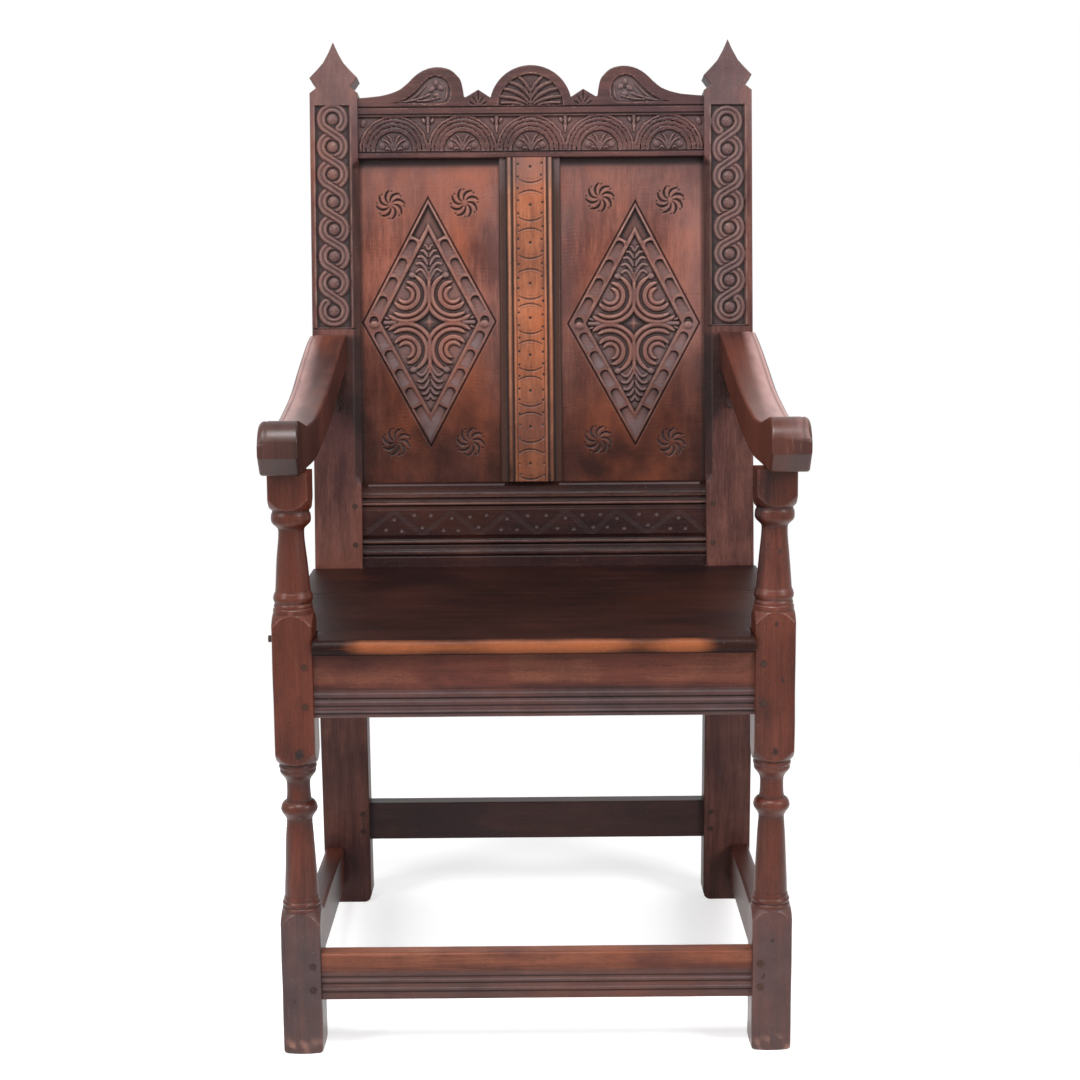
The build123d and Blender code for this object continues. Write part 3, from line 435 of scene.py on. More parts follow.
class Relief:
    """The carved face of a member: heights, and where it is dark (dirt and painted shade in
    its cuts), worn or dusty.
    """

    def __init__(self, x, s):
        self.x, self.s = x, s
        self.h, self.cut, self.dust, self.dark = (np.zeros(x.shape) for _ in range(4))

    def spot(self, points, margin):
        """The grid's places round some points."""
        p = np.array(points)
        (x0, s0), (x1, s1) = p.min(0) - margin, p.max(0) + margin
        return np.nonzero((self.x >= x0) & (self.x <= x1) & (self.s >= s0) & (self.s <= s1))

    def sink(self, i, q, deep, dark, dust):
        lift(self.cut, i, deep)
        lift(self.dark, i, dark)
        lift(self.dust, i, dust * unit(q * 2))

    def swell(self, i, inside, q, top, drop):
        up = np.maximum(self.h[i], top - drop + drop * q)
        self.h[i] = np.where(inside, up, self.h[i])

    def gouge(self, points, width, depth, ends=(0.3, 0.3), blunt=0.6, dark=0.8, dust=0.0):
        """A cut along a line, narrower at its ends."""
        i = self.spot(points, width)
        d, t = to_line(self.x[i], self.s[i], points)
        half = width / 2 * np.interp(t, [0, 0.5, 1], [ends[0], 1, ends[1]])
        q = unit(1 - d / half) ** blunt
        deep = depth * q * np.minimum(1, half * 2 / width + 0.3)
        self.sink(i, q, deep, dark * unit(q * 1.5), dust)

    def dot(self, c, r, depth, dark=0.9, dust=0.0):
        """A punched dot."""
        i = self.spot([c], r + 1)
        q = unit(1.25 - np.hypot(self.x[i] - c[0], self.s[i] - c[1]) / r)
        self.sink(i, q, depth * q, dark * unit(q * 1.6), dust)

    def rib(self, points, width, top, ends=(0.6, 0.4), drop=2.6):
        """A rounded ridge along a line, up to a height."""
        i = self.spot(points, width)
        d, t = to_line(self.x[i], self.s[i], points)
        half = width / 2 * np.interp(t, [0, 0.35, 1], [ends[0], 1, ends[1]])
        self.swell(i, d < half, np.sqrt(unit(1 - (d / half) ** 2)), top, drop)

    def bead(self, c, radii, top, drop=2.4, turn=0.0):
        """A rounded lobe."""
        i = self.spot([c], max(radii) + 1)
        a = math.radians(turn)
        u = (self.x[i] - c[0]) * math.cos(a) + (self.s[i] - c[1]) * math.sin(a)
        v = (self.s[i] - c[1]) * math.cos(a) - (self.x[i] - c[0]) * math.sin(a)
        q = np.sqrt(unit(1 - (u / radii[0]) ** 2 - (v / radii[1]) ** 2))
        self.swell(i, q > 0, q, top, drop)

    def finish(self, reach=3, dark=0.34, light=0.42):
        """Heights and the looks that follow from them."""
        h = self.h - self.cut
        low = spread(spread(h, reach, 0), reach, 1)
        wide = spread(spread(h, 2 * reach, 0), 2 * reach, 1)
        # darker in hollows: dirt and painted shade; lighter on ridges: wear
        cav = unit((low - h) * dark) + np.clip((wide - h) * dark * 0.5, 0, 0.5)
        wear = unit((h - low) * light) + np.clip((h - wide) * light * 0.4, 0, 0.4)
        return h, {"cav": unit(cav + self.dark * 0.75), "wear": unit(wear), "dust": self.dust}


def strands(centres, radius, way):
    """The guilloche's strands: each one whole, and its part that passes over the others."""
    whole, over = [], []
    for k, (a, b) in enumerate(zip(centres[:-1], centres[1:])):
        pitch = math.hypot(a[0] - b[0], a[1] - b[1])
        phi = math.degrees(math.asin(min(0.985, 2 * radius / pitch)))
        last = k == len(centres) - 2
        for group, start, end in ((whole, 84, -100), (over, 150, -30)):
            one = arc((0, 0), radius, -50 if k == 0 else start, 180 + phi, 20)
            two = arc((0, 0), radius, phi, -226 if last else end, 20)
            group.append([(a[0] + way * u, a[1] + v) for u, v in one]
                         + [(b[0] + way * u, b[1] + v) for u, v in two])
    return whole, over


def guilloche(r, centres, edges, span, way):
    """Bosses in a pair of interlaced, double-ribbed strands on a sunk strip."""
    strand_radius, strand_half, shadow_half = 14.8, 5.9, 6.5
    boss, moat, ground = 7.3, 9.2, -2.9
    i = np.nonzero((r.x > edges[0]) & (r.x < edges[1]) & (r.s > span[0]) & (r.s < span[1]))
    x, s = r.x[i], r.s[i]
    rim = np.minimum(np.minimum(x - edges[0], edges[1] - x), np.minimum(s - span[0], span[1] - s))
    h = ground * unit(rim / 1.2)

    def strand(q):
        return -0.3 - 1.6 * np.exp(-((q / 1.15) ** 2)) - 2.0 * above(q, 3.4, 2.5) ** 2

    paths = strands(centres, strand_radius, way)
    whole, over = ([to_line(x, s, path)[0] for path in group] for group in paths)
    for d in whole:
        h = np.where(d < strand_half, np.maximum(h, strand(d) - 0.3), h)
    for d, e in zip(whole, over):
        h = np.where(e < shadow_half, np.where(d < strand_half, strand(d), -2.5), h)
    for c in centres:
        q = np.hypot(x - c[0], s - c[1])
        nick = np.cos(5 * np.arctan2(s - c[1], x - c[0]) + c[1]) > 0.82
        nick = nick & (q > 2.2) & (q < 5.5)
        dome = -3.0 + 2.7 * np.sqrt(unit(1 - (q / boss) ** 2)) - 0.6 * nick
        h = np.where(q < moat, np.where(q < boss, dome, ground), h)
    r.h[i] = h
    r.dark[i] = np.clip((-h - 2.0) * 1.2, 0, 0.7) * unit(rim / 2)
    r.dust[i] = 0.25 + 0.15 * unit(-h - 1.6)


def pinwheel(r, c, turn, pale):
    """Eight curved gouge cuts round a point, and a dot between each pair."""
    radius = 18.4

    def at(share, angle):
        return (c[0] + radius * share * math.cos(angle), c[1] + radius * share * math.sin(angle))

    for k in range(8):
        a = math.radians(turn + 45 * k)
        points = [at(q, a - math.radians(48) * q**2) for q in np.linspace(0.2, 1, 9)]
        r.gouge(points, 4.7, 2.2, (0.3, 0.45), 0.7, 0.7 - 0.45 * pale, 0.6 * pale)
        r.dot(at(0.96, a - math.radians(14)), 1.5, 1.0, 0.7)


BARS = np.array([18.0, 45.5, 73.5, 101.0, 128.5])    # cross-bars along a lozenge's side
BLOCK_MID, BLOCK_HALF = 10.4, 6.4                    # its sunk blocks, in from its outer line
INNER_LINE = 21.4
EYE_X, EYE_S = 31.0, 36.0                            # centres of its volutes, from its middle
# ribs of a volute: radius, half width, the angles it runs between, and how it tapers
VOLUTE = ((34.4, 3.2, 150, 311, 10), (27.2, 3.1, 118, 306, 16), (16.9, 3.4, 92, 330, 30),
          (9.8, 3.2, 92, 338, 50))
VALLEYS = (13.2, 20.8, 23.6, 30.6)
# leaves of a spray: root, bend and tip from the middle line, and width
SPRAY = (((1.8, 56), (8.5, 75), (16.0, 66), 5.4), ((1.8, 65), (8, 81), (16.0, 76), 5.6),
         ((1.6, 75), (6.5, 89), (13.6, 85), 5.6), ((1.2, 85), (5.0, 95), (9.8, 93), 5.0),
         ((0.8, 94), (2.5, 101), (5.0, 100), 4.2))
SPRIG = (((44, 0.2), (50, 0.4), (58.0, 0.2), 5.4), ((53, 4.6), (55, 5.4), (57.2, 6.4), 3.6))


def lozenge_border(t, run, ax, s, wide):
    """Sunk blocks, rounded at their upper ends: heights, painted shade and dirt, and dust."""
    upper = s > 0
    line = fade(abs(t - 0.5), 1.5)
    w = abs(t - BLOCK_MID) - BLOCK_HALF
    k = np.searchsorted(BARS, run)
    to_last = run - BARS[np.clip(k - 1, 0, 4)] - 1.3
    to_next = BARS[np.clip(k, 0, 4)] - 1.3 - run
    head = np.where(upper, to_next, to_last)                 # distance under the upper bar
    foot = np.where(upper, to_last, to_next)
    cap = np.hypot(np.maximum(BLOCK_HALF - head, 0), (t - BLOCK_MID) * 0.93) - BLOCK_HALF
    block = np.maximum(np.maximum(w, -foot), np.where(head < BLOCK_HALF, cap, -head))
    block = np.where(k == 5, np.maximum(w, -to_last), block)
    # a scooped round with a raised ball at each side corner
    ball = np.hypot(ax - wide + 15.5, (s + 2.6) * 1.15)
    scoop = np.hypot(ax - wide + 15.0, (s - 1.6) * 0.9) - 6.3
    block = np.where(k == 0, np.maximum(scoop, 5.6 - ball), block)
    sunk = unit(-block / 1.2) * (t > 3)
    down = unit(head / 22.0)
    h = -2.4 * line + 1.9 * unit(1 - (ball / 5.8) ** 2) ** 0.7
    h -= (3.3 - 2.3 * down - 0.9 * above(t, 5, 11)) * sunk
    outward = np.clip(1 - (t - 6) / 12, 0.25, 1)
    # painted shade: the cut line and the blocks' edges dark, a dark ring under each ball, and the
    # blocks darker at their upper ends and on the upper sides, as if lit from above
    dark = np.maximum.reduce([
        0.9 * line,
        0.4 * fade(abs(ball - 6.6), 1.2) * (s < -3),
        sunk * unit(1.15 - 1.7 * down) * outward * np.where(upper, 1, 0.55),
        fade(abs(block + 0.8), 1.2) * (t > 3) * 0.45,
        0.5 * sunk * (1 - 0.5 * down) * upper,
    ])
    return h, dark, sunk * (0.45 + 0.5 * down) * np.where(upper, 0.6, 1)


def lozenge_field(t, ax, up):
    """Four volutes round a star: heights, darkness in its hollows (dirt and painted shade) and
    dust.
    """
    ground = -3.2
    q = np.hypot(ax - EYE_X, up - EYE_S)
    angle = np.degrees(np.arctan2(up - EYE_S, ax - EYE_X)) % 360
    field = np.full(ax.shape, ground)

    def ridge(d, half, high):
        return ground + high * np.sqrt(unit(1 - (d / half) ** 2))

    for radius, half, start, end, taper in VOLUTE:
        ease = unit(np.minimum(angle - start, end - angle) / taper) ** 0.5
        rib = ridge(q - radius, half * ease + 1e-3, 2.9)
        field = np.maximum(field, np.where(ease > 0, rib, ground))
    field = field - 0.5 * np.exp(-(((q - 17.4) / 0.7) ** 2)) * (angle > 110) * (angle < 312)
    stem = (up > 20) & (up < 66)
    field = np.maximum(field, np.where(stem, ridge(ax, 2.8, 2.8), ground))
    star = (q > 37.6) & (up < 19) & (ax < 20)
    petals = (ax / 6.5) ** 0.75 + (up / 8.0) ** 0.75
    field = np.where(star, ground - 0.4 + 1.9 * np.sqrt(unit(1 - petals)), field)
    clear = (q > 33) & (up > 58)
    field = np.where(clear & ~star & (ax > 2.6), ground, field)
    field = ground + (field - ground) * above(t, 23.2, 1.2)
    edge = above(t, INNER_LINE, 1.0)
    deep = above(-field, 1.9, 1.2)
    valley = sum(fade(abs(q - g), 1.5) for g in VALLEYS)
    valley = np.where((angle > 95) & (angle < 325), valley, 0)
    dark = np.maximum(edge * deep * (0.12 + 0.6 * valley),
                      edge * star * np.clip(0.95 * (petals - 0.5), 0.1, 0.9))
    return field * edge, dark, deep * edge * 0.75


def lozenge(r, top, bottom, left, right):
    """The panel's lozenge: a border of sunk blocks round a field of four volutes."""
    mid = ((left[0] + right[0]) / 2, (left[1] + right[1]) / 2)
    wide = (right[0] - left[0]) / 2
    i = r.spot([left, right, top, bottom], 4)
    s = r.s[i] - mid[1]
    tall = np.where(s > 0, top[1] - mid[1], mid[1] - bottom[1])
    x = r.x[i] - mid[0] - (np.where(s > 0, top[0], bottom[0]) - mid[0]) * abs(s) / tall
    ax, up = abs(x), abs(s)
    size = np.hypot(wide, tall)
    t = (1 - ax / wide - up / tall) * wide * tall / size     # in from the outer line
    run = (up * tall + (wide - ax) * wide) / size            # along the side, from the corner
    inner = fade(abs(t - INNER_LINE), 1.3)
    h, dark, dust = lozenge_border(t, run, ax, s, wide)
    h_field, dark_field, dust_field = lozenge_field(t, ax, up)
    h = h - 1.3 * inner + h_field
    r.h[i] = np.minimum(r.h[i], 0) + h
    lift(r.dark, i, np.maximum.reduce([dark, inner * 0.85, dark_field]))
    lift(r.dust, i, np.maximum.reduce([dust, dust_field, 0.3 * (t > 2)]))
    # sprays above and below, sprigs to the sides
    for v in (-1, 1):
        lean = ((top if v > 0 else bottom)[0] - mid[0]) / 165.0
        for u in (-1, 1):
            def at(a, b, up_by=0):
                return (mid[0] + u * a + lean * (b + up_by), mid[1] + v * (b + up_by))

            for a, b, c, width in SPRAY:
                r.rib(bend(at(*a), at(*b), at(*c)), width, -0.5, (0.5, 0.7), 2.6)
                vein = bend(at(*a, 3.4), at(*b, 3.0), at(*c, 3.0))
                r.gouge(vein, 1.2, 0.8, (0.6, 0.6), 0.6, 0.6)
            r.bead(at(21.6, 61.6), (4.9, 4.5), 0.1, 3.0)
            stalk = bend(at(4.0, 46.0), at(9.5, 58.0), at(19.0, 60.5))
            r.rib(stalk, 4.0, -0.4, (0.8, 0.9), 2.6)
            for a, b, c, width in SPRIG:
                r.rib(bend(at(*a), at(*b), at(*c)), width, -0.4, (0.5, 0.9), 2.5)


# a lunette's ridges: radius, half width and top; its dark grooves: share, radius and width
ARCHES = ((27.2, 2.9, -0.7), (33.1, 2.9, -0.4), (38.7, 2.5, -0.4), (43.2, 1.9, -0.2))
GROOVES = ((0.6, 23.6, 1.4), (0.5, 30.2, 0.8), (0.75, 36.1, 1.0), (0.5, 41.3, 0.8))
# leaves of a lunette's fan: root, bend and tip, width, top, ends and drop
FAN = (((2.0, 1), (5, 13), (15.5, 14.5), 4.0, -0.7, (0.7, 0.4), 2.2),
       ((1.2, 5), (2.6, 17), (9, 19.8), 3.6, -0.6, (0.7, 0.4), 2.2),
       ((5, 0.6), (8, 6), (10.5, 1), 3.0, -0.9, (0.7, 0.5), 2.0))


def lunettes(r, centres, low, high):
    """Lunettes in a row, each round a fan, with buds between."""
    i = np.nonzero((r.s > low) & (r.s < high))
    x, s = r.x[i], r.s[i]
    centres = np.array(centres)
    nearest = centres[abs(x[:, None] - centres[None, :]).argmin(1)]
    q = np.hypot(x - nearest, s - low - 1.2)
    q = q + 0.45 * wobble(np.stack([x, s, 0 * x], -1), 13, 41)
    h = np.full(x.shape, -3.0)
    for c, half, top in ARCHES:
        h = np.where(abs(q - c) < half, top - eased(half - abs(q - c), 1.7), h)
    r.dark[i] = sum(a * fade(abs(q - c), w) for a, c, w in GROOVES)
    r.dust[i] = 0.22 * unit(-h - 1.8)
    r.h[i] = h * unit(np.minimum(s - low, high - s))
    for c in centres:
        base = low + 1.0
        for side in (-1, 1):
            r.bead((c + side * 14.6, base + 6.4), (5.6, 4.6), -0.8, 2.2, side * 25)
            r.gouge(arc((c + side * 14.0, base + 5.6), 3.0, 90, 90 + side * 210), 1.5, 1.2)
            for *path, width, top, ends, drop in FAN:
                path = bend(*((c + side * a, base + b) for a, b in path))
                r.rib(path, width, top, ends, drop)
        r.rib([(c, base), (c, base + 19.5)], 3.0, -0.7, (1, 0.5), 2.2)
    for a, b in zip(centres[:-1], centres[1:]):
        c = (a + b) / 2
        r.rib([(c, high - 1.0), (c, low + 24)], 5.4, -0.4, (1.0, 0.5), 2.4)
        for side in (-1, 1):
            r.bead((c + side * 5.4, high - 5.5), (2.6, 4.2), -0.5, 2.3, side * -28)
            r.gouge([(c + side * 1.6, high - 3), (c + side * 3.8, high - 13)], 1.4, 1.2)
        r.gouge([(c, high - 5), (c, high - 17)], 1.3, 1.0)
    for side in (-1, 1):
        r.bead((side * 217.5, high - 8), (4.0, 5.5), -0.6, 2.2, side * 20)
        r.bead((side * 219.5, low + 14), (3.0, 5.0), -0.8, 2.2)


# leaves of the palmette: root, bend and tip from its foot, and width
PALMETTE = (((1.2, 20), (4.5, 30), (14.5, 38.0), 5.8), ((1.4, 11.5), (8, 27), (26.0, 31.6), 6.6),
            ((2.0, 5.5), (13, 20.5), (34.0, 23.2), 6.6), ((3.5, 3.2), (18, 13), (38.0, 13.2), 6.0),
            ((9.0, 2.4), (22, 6.5), (37.0, 5.0), 4.8))


def tympanum(r, c, radius):
    """The palmette in the crest's arch."""
    i = r.spot([(c[0] - radius, c[1]), (c[0] + radius, c[1] + radius)], 1)
    q = np.hypot(r.x[i] - c[0], r.s[i] - c[1])
    edge = np.minimum(radius - q, r.s[i] - c[1] - 1.6)
    r.h[i] = np.where(edge > 0, -3.0 * unit(edge / 1.1), r.h[i])
    r.dust[i] = np.where(edge > 1, 0.12, r.dust[i])
    r.dark[i] = np.where(edge > 1, 0.3, r.dark[i])
    for side in (-1, 1):
        for *path, width in PALMETTE:
            path = bend(*((c[0] + side * u, c[1] + v) for u, v in path))
            r.rib(path, width, -0.2, (0.45, 0.8), 2.7)
    r.rib([(c[0], c[1] + 2), (c[0], c[1] + 24)], 3.4, -0.3, (1, 0.7), 2.6)


# the leaf field in the crest's right scroll: its outline; its stems, with width, top, ends
# and drop; its berries, with radii and turn; and its small cuts
FIELD = [(182, 602.2), (165, 606.2), (151, 616.2), (139.5, 628.5), (132, 635.4), (124, 638.2),
         (114, 636), (106.8, 629.5), (103.6, 620.5), (104.2, 610.5), (107.5, 604.2), (114, 602)]
STEMS = (((176, 603.6), (150, 604.5), (131, 614), 3.6, -0.5, (0.4, 0.9)),
         ((158, 606), (147, 612), (136, 625), 3.4, -0.5, (0.5, 0.5)),
         ((112, 605), (106.8, 614), (108.5, 625), 3.0, -0.6, (0.5, 0.5)),
         ((147, 605), (131, 606), (117, 610), 3.2, -0.6, (0.5, 0.7)))
BERRIES = (((128.2, 620.5), (5.2, 3.6), -35), ((116.6, 622.6), (4.8, 3.6), 40),
          ((122.5, 628.8), (3.6, 4.6), 0), ((121.8, 613.2), (4.8, 3.4), 8))
NICKS = (((168, 604.6), (160, 608.5)), ((140, 608), (134, 617)), ((113, 628), (117, 634)))
# gouge cuts on the small gable between two scrolls
CUSP = (((68, 617), (68, 606)), ((60.5, 610), (66, 602.5)), ((75.5, 610), (70, 602.5)),
        ((56, 604), (62, 600.4)), ((80, 604), (74, 600.4)))


def scroll_field(r, side):
    """The carving of one of the crest's scrolls and of the gable beside it."""
    def at(*points):
        return [(side * a, b) for a, b in points]

    outline = at(*FIELD)
    i = r.spot(outline, 2)
    x, s = r.x[i], r.s[i]
    d = to_line(x, s, outline + outline[:1])[0]
    inside = within(x, s, outline)
    r.h[i] = np.where(inside, -2.8 * unit(d / 1.2), r.h[i])
    r.dust[i] = np.where(inside & (d > 1), 0.45, r.dust[i])
    for *path, width, top, ends in STEMS:
        r.rib(bend(*at(*path)), width, top, ends, 2.2)
    for c, radii, turn in BERRIES:
        r.bead(*at(c), radii, -0.3, 2.5, side * turn)
    r.dot((side * 122.4, 620.3), 1.8, 1.2, 0.7)
    for cut in NICKS:
        r.gouge(at(*cut), 1.3, 0.9)
    for cut in CUSP:
        r.gouge(at(*cut), 2.6, 1.5, (0.3, 0.8))


# ------------ the back
STRIP = (312.0, 599.0)         # the carved strip, up a stile
STRIP_EDGES = {-1: (-279.6, -234.6), 1: (232.8, 276.8)}
STRIP_SPAN = {-1: (312.5, 599.5), 1: (312.5, 597.0)}
BOSSES = {
    -1: [(-256.9, 581.7), (-257.2, 546.3), (-257.1, 510.9), (-256.8, 475.4), (-256.4, 439.9),
         (-256.4, 405.0), (-257.3, 370.4), (-257.8, 334.4)],
    1: [(253.4, 575.1), (254.4, 539.7), (254.8, 504.3), (255.3, 470.3), (256.0, 437.8),
        (256.4, 404.3), (256.3, 370.6), (256.1, 335.6)],
}
# how far up a stile, and its half width there
FINIAL = ((-460, 31), (615.5, 31), (622.5, 22), (635, 31), (645, 21.3), (654, 13.2), (667, 6),
          (680, 0.25))
FOOT_ROUND = 10                # radius at the inner side of a foot


def stile(side, name):
    """A back leg and stile: stopped chamfer, carved strip and bare finial."""
    chamfer, arris, arm_under = 9, 1.6, 303
    rows = np.unique(np.concatenate([
        lines(-460, 0, 12, [-459.6, -458.5, -456, -450]), lines(0, 305, 6, 106, 119),
        lines(305, 312, 1), lines(*STRIP, 0.8), lines(599, 680, 0.8, [615.5, 622.5, 635.0]),
    ]))
    edge = np.interp(rows, *np.transpose(FINIAL))
    cols = lines(-1, 1, 1.25 / STILE_HALF, [-0.995, -0.98, -0.95, 0.95, 0.98, 0.995])
    u = cols[:, None] * edge[None, :]
    s = rows[None, :] + 0 * u
    foot = np.clip(FOOT_ROUND - SEAT - s, 0, FOOT_ROUND)
    lost = FOOT_ROUND - np.sqrt(np.maximum(FOOT_ROUND**2 - foot**2, 0))
    u = np.where(-side * u > 0, u * (STILE_HALF - lost) / STILE_HALF, u)
    gap = np.minimum(edge[None, :] - abs(u), 50)
    x = side * STILE_MID + u
    from_inner = np.maximum(edge[None, :] + side * u, 0)
    full = np.interp(s, [106, 119, 519, 532], [0, 1, 1, 0])
    out = -np.maximum(chamfer * full - from_inner, 0)
    outer_gap = np.where(side * u > 0, gap, chamfer)
    out = out - eased(gap, arris) * (full < 0.5) - eased(outer_gap, arris) * (full >= 0.5)
    r = Relief(x, s)
    edges = STRIP_EDGES[side]
    guilloche(r, BOSSES[side], edges, STRIP_SPAN[side], -side)
    for line in (303.5, 311.4):
        r.gouge([(edges[0] - 4, line), (edges[1] + 4, line)], 2.4, 1.2, (1, 1))
    h, looks = r.finish()
    # painted shade on the chamfer beside the panel, and the arm's painted shadow on the stile below
    # it
    looks["cav"] = unit(looks["cav"] + 0.5 * (full > 0.5) * below(from_inner, 10, 2))
    looks["shade"] = 1.5 * unit((s - 150 - 1.2 * from_inner) / 35) * (s < arm_under)
    looks["dust"] = np.maximum(looks["dust"], 0.38 * above(s, 520, 80))
    out = out + h + 0.35 * wobble(on_back(x, s, 0 * x), 90, 3 + side)
    # the rear follows the finial row by row
    back_rows = [*np.searchsorted(rows, (FOOT_ROUND - SEAT, 0)), *np.where(rows > 598)[0]]
    board(name, BACK, x, s, out, STILE_DEEP, looks, map(int, back_rows))


ARCH_S, ARCH_R = 597, 53.5     # the crest's middle arch
CREST_LOW = 609.5
# half of the rest of the crest's outline: x, and how far up the slope
CREST_X = [51.9, 53.5, 68, 84, 86.6, 88.0, 89.6, 92.3, 95.5, 98.9, 102.8, 108.5, 114.7, 120.6,
           126.6, 132.8, 138.5, 144, 149, 153.8, 158, 163, 168.5, 174, 180.4, 187.5, 195.4,
           210.2, 224]
CREST_S = [609.5, 610, 619.5, 610, 610.3, 621, 629, 634.6, 638, 641.6, 644.6, 647.0, 648.3,
           648.8, 648.4, 647.0, 644.9, 641.9, 638.3, 633.9, 629.5, 625.2, 620.8, 618.2, 615.7,
           613.8, 612.1, 610.6, 609.5]


def crest_top(x):
    """The crest's outline: how far up the slope its top edge is at x."""
    x = abs(x)
    arch = ARCH_S + np.sqrt(np.maximum(ARCH_R**2 - x**2, 0))
    return np.where(x < CREST_X[0], np.maximum(arch, CREST_LOW), np.interp(x, CREST_X, CREST_S))


def crest():
    cols = lines(-STILE_IN, STILE_IN, 1.0, [-86.7, -88, -53, -51.9, -51, 51, 51.9, 53, 86.7, 88])
    top = crest_top(cols)
    frieze = lines(LINTEL, ARCH_S, 1.0, 531.8, 532.6, 540.5, 541.2, 585, 585.7)
    k = np.concatenate([np.linspace(0, 1, 46)[1:-1], [0.985, 0.995, 1.0]])
    low = frieze[None, :] + 0 * cols[:, None]
    high = ARCH_S + (top[:, None] - ARCH_S) * k[None, :]
    s = np.concatenate([low, high], 1)
    x = cols[:, None] + 0 * s
    r = Relief(x, s)
    lunettes(r, [-178.0, -89.0, 0.0, 89.0, 178.0], 540.5, 585.5)
    tympanum(r, (0.0, 597.0), 42.3)
    for side in (-1, 1):
        scroll_field(r, side)
    for line, w in ((587.6, 2.8), (597.2, 2.4), (539.3, 2.6)):
        r.gouge([(-STILE_IN, line), (STILE_IN, line)], w, 1.6, (1, 1))
    h, looks = r.finish(2)
    out = h - RAIL_SET - eased(np.maximum(top[:, None] - s, 0), 1.5) - eased(s - LINTEL, 1.5)
    board("crest_rail", CREST, x, s, out, RAIL_SET + RAIL_THICK, looks)


# the lower rail's section: two beads, the scratched band, a bead and a sloping sill
RAIL_S = [0, 14, 14.6, 16.5, 19, 21.5, 23.4, 24.2, 28.6, 29.6, 31.5, 33.4, 35.3, 37.2, 38, 41.5,
          42.2, 75, 76, 79, 79.8, 81.5, 83, 84.5, 86, 87, 90.6, 91.6, 94.6, 95.2, 98, 102, 106,
          111.5]
RAIL_OUT = [0, 0, -1.6, 0.2, 0.8, 0.2, -1.4, -1.8, -2.4, -3.0, -0.8, 0.0, -0.8, -2.6, -2.4,
            -1.2, -0.8, -0.8, -1.2, -1.4, -2.8, -0.6, 0, -0.6, -2.6, -3.2, -3.6, -1.6, -1.6,
            -2.8, -4.2, -4.9, -5.0, -3.4]
ZIGZAG = (-224, -183, -146, -108, -71, -33, 4, 41, 75, 107, 148, 188, 224)
ZIGZAG_LOW, ZIGZAG_HIGH = 43.0, 74.0


def lower_rail():
    rows = lines(0.7, SILL, 0.9, 14.4, 23.6, 29.4, 37.4, 42, 75, 79.5, 86, 91, 95, 106)
    cols = lines(-STILE_IN, STILE_IN, 1.4)
    x, s = grid(cols, rows)
    r = Relief(x, s)
    r.h += np.interp(rows, RAIL_S, RAIL_OUT)[None, :]
    low, high = ZIGZAG_LOW, ZIGZAG_HIGH
    for a, b in zip(ZIGZAG[:-1], ZIGZAG[1:]):
        for shift in (-3.0, 0.0, 3.4):
            line = [(a + shift, low), (b + shift, high)]
            r.gouge(line, 1.5, 0.5, (0.6, 0.6), 1, 0.35, 0.25)
        low, high = high, low
    way = 1
    for c in ZIGZAG[1:-1]:
        for u, v in ((-10.5, -9), (0.5, 5.5), (10.5, -9.5)):
            spot = (c + u + RNG.normal() * 1.2, 58.5 + way * v + RNG.normal() * 1.0)
            r.dot(spot, 1.9, 0.9, 0.0, 1.0)
        way = -way
    h, looks = r.finish(3, 0.5, 0.4)
    # a pale line along the sill's top arris beside the muntin: a painted highlight, in the dust
    # attribute
    beside_muntin = (abs(x + 2.5) > 36) * (abs(x) < 217)
    looks["dust"] = np.maximum(looks["dust"], 1.5 * (near(s, 107.6, 1.6) * beside_muntin))
    board("lower_back_rail", LOWER, x, s, h - RAIL_SET, RAIL_SET + RAIL_THICK, looks)


# the muntin's section from its middle line, and the centres of its scratched circles
MUNTIN_OFF, MUNTIN_HALF = -2.5, 40
MUNTIN_X = [0, 16.8, 17.6, 18.4, 19.6, 20.8, 22.2, 23.6, 25, 26.6, 28.2, 29.4, 30.4, 31.5, 34,
            36.5, 38, 40]
MUNTIN_OUT = [0, 0, -0.7, 0, 0.3, 0, -1.8, -1.8, -0.5, 0.2, -0.5, -2.2, -3.4, -4.2, -4.6, -4.2,
              -4.4, -6]
INNER_BEAD, OUTER_BEAD = 19.6, 26.6
CIRCLES = ((-1.5, 519.5), (-1.7, 470.3), (-2.1, 421.4), (-2.5, 368.8), (-2.9, 324), (-3.2, 276),
           (-3.5, 229.6), (-3.8, 182.6), (-4.0, 134.7))


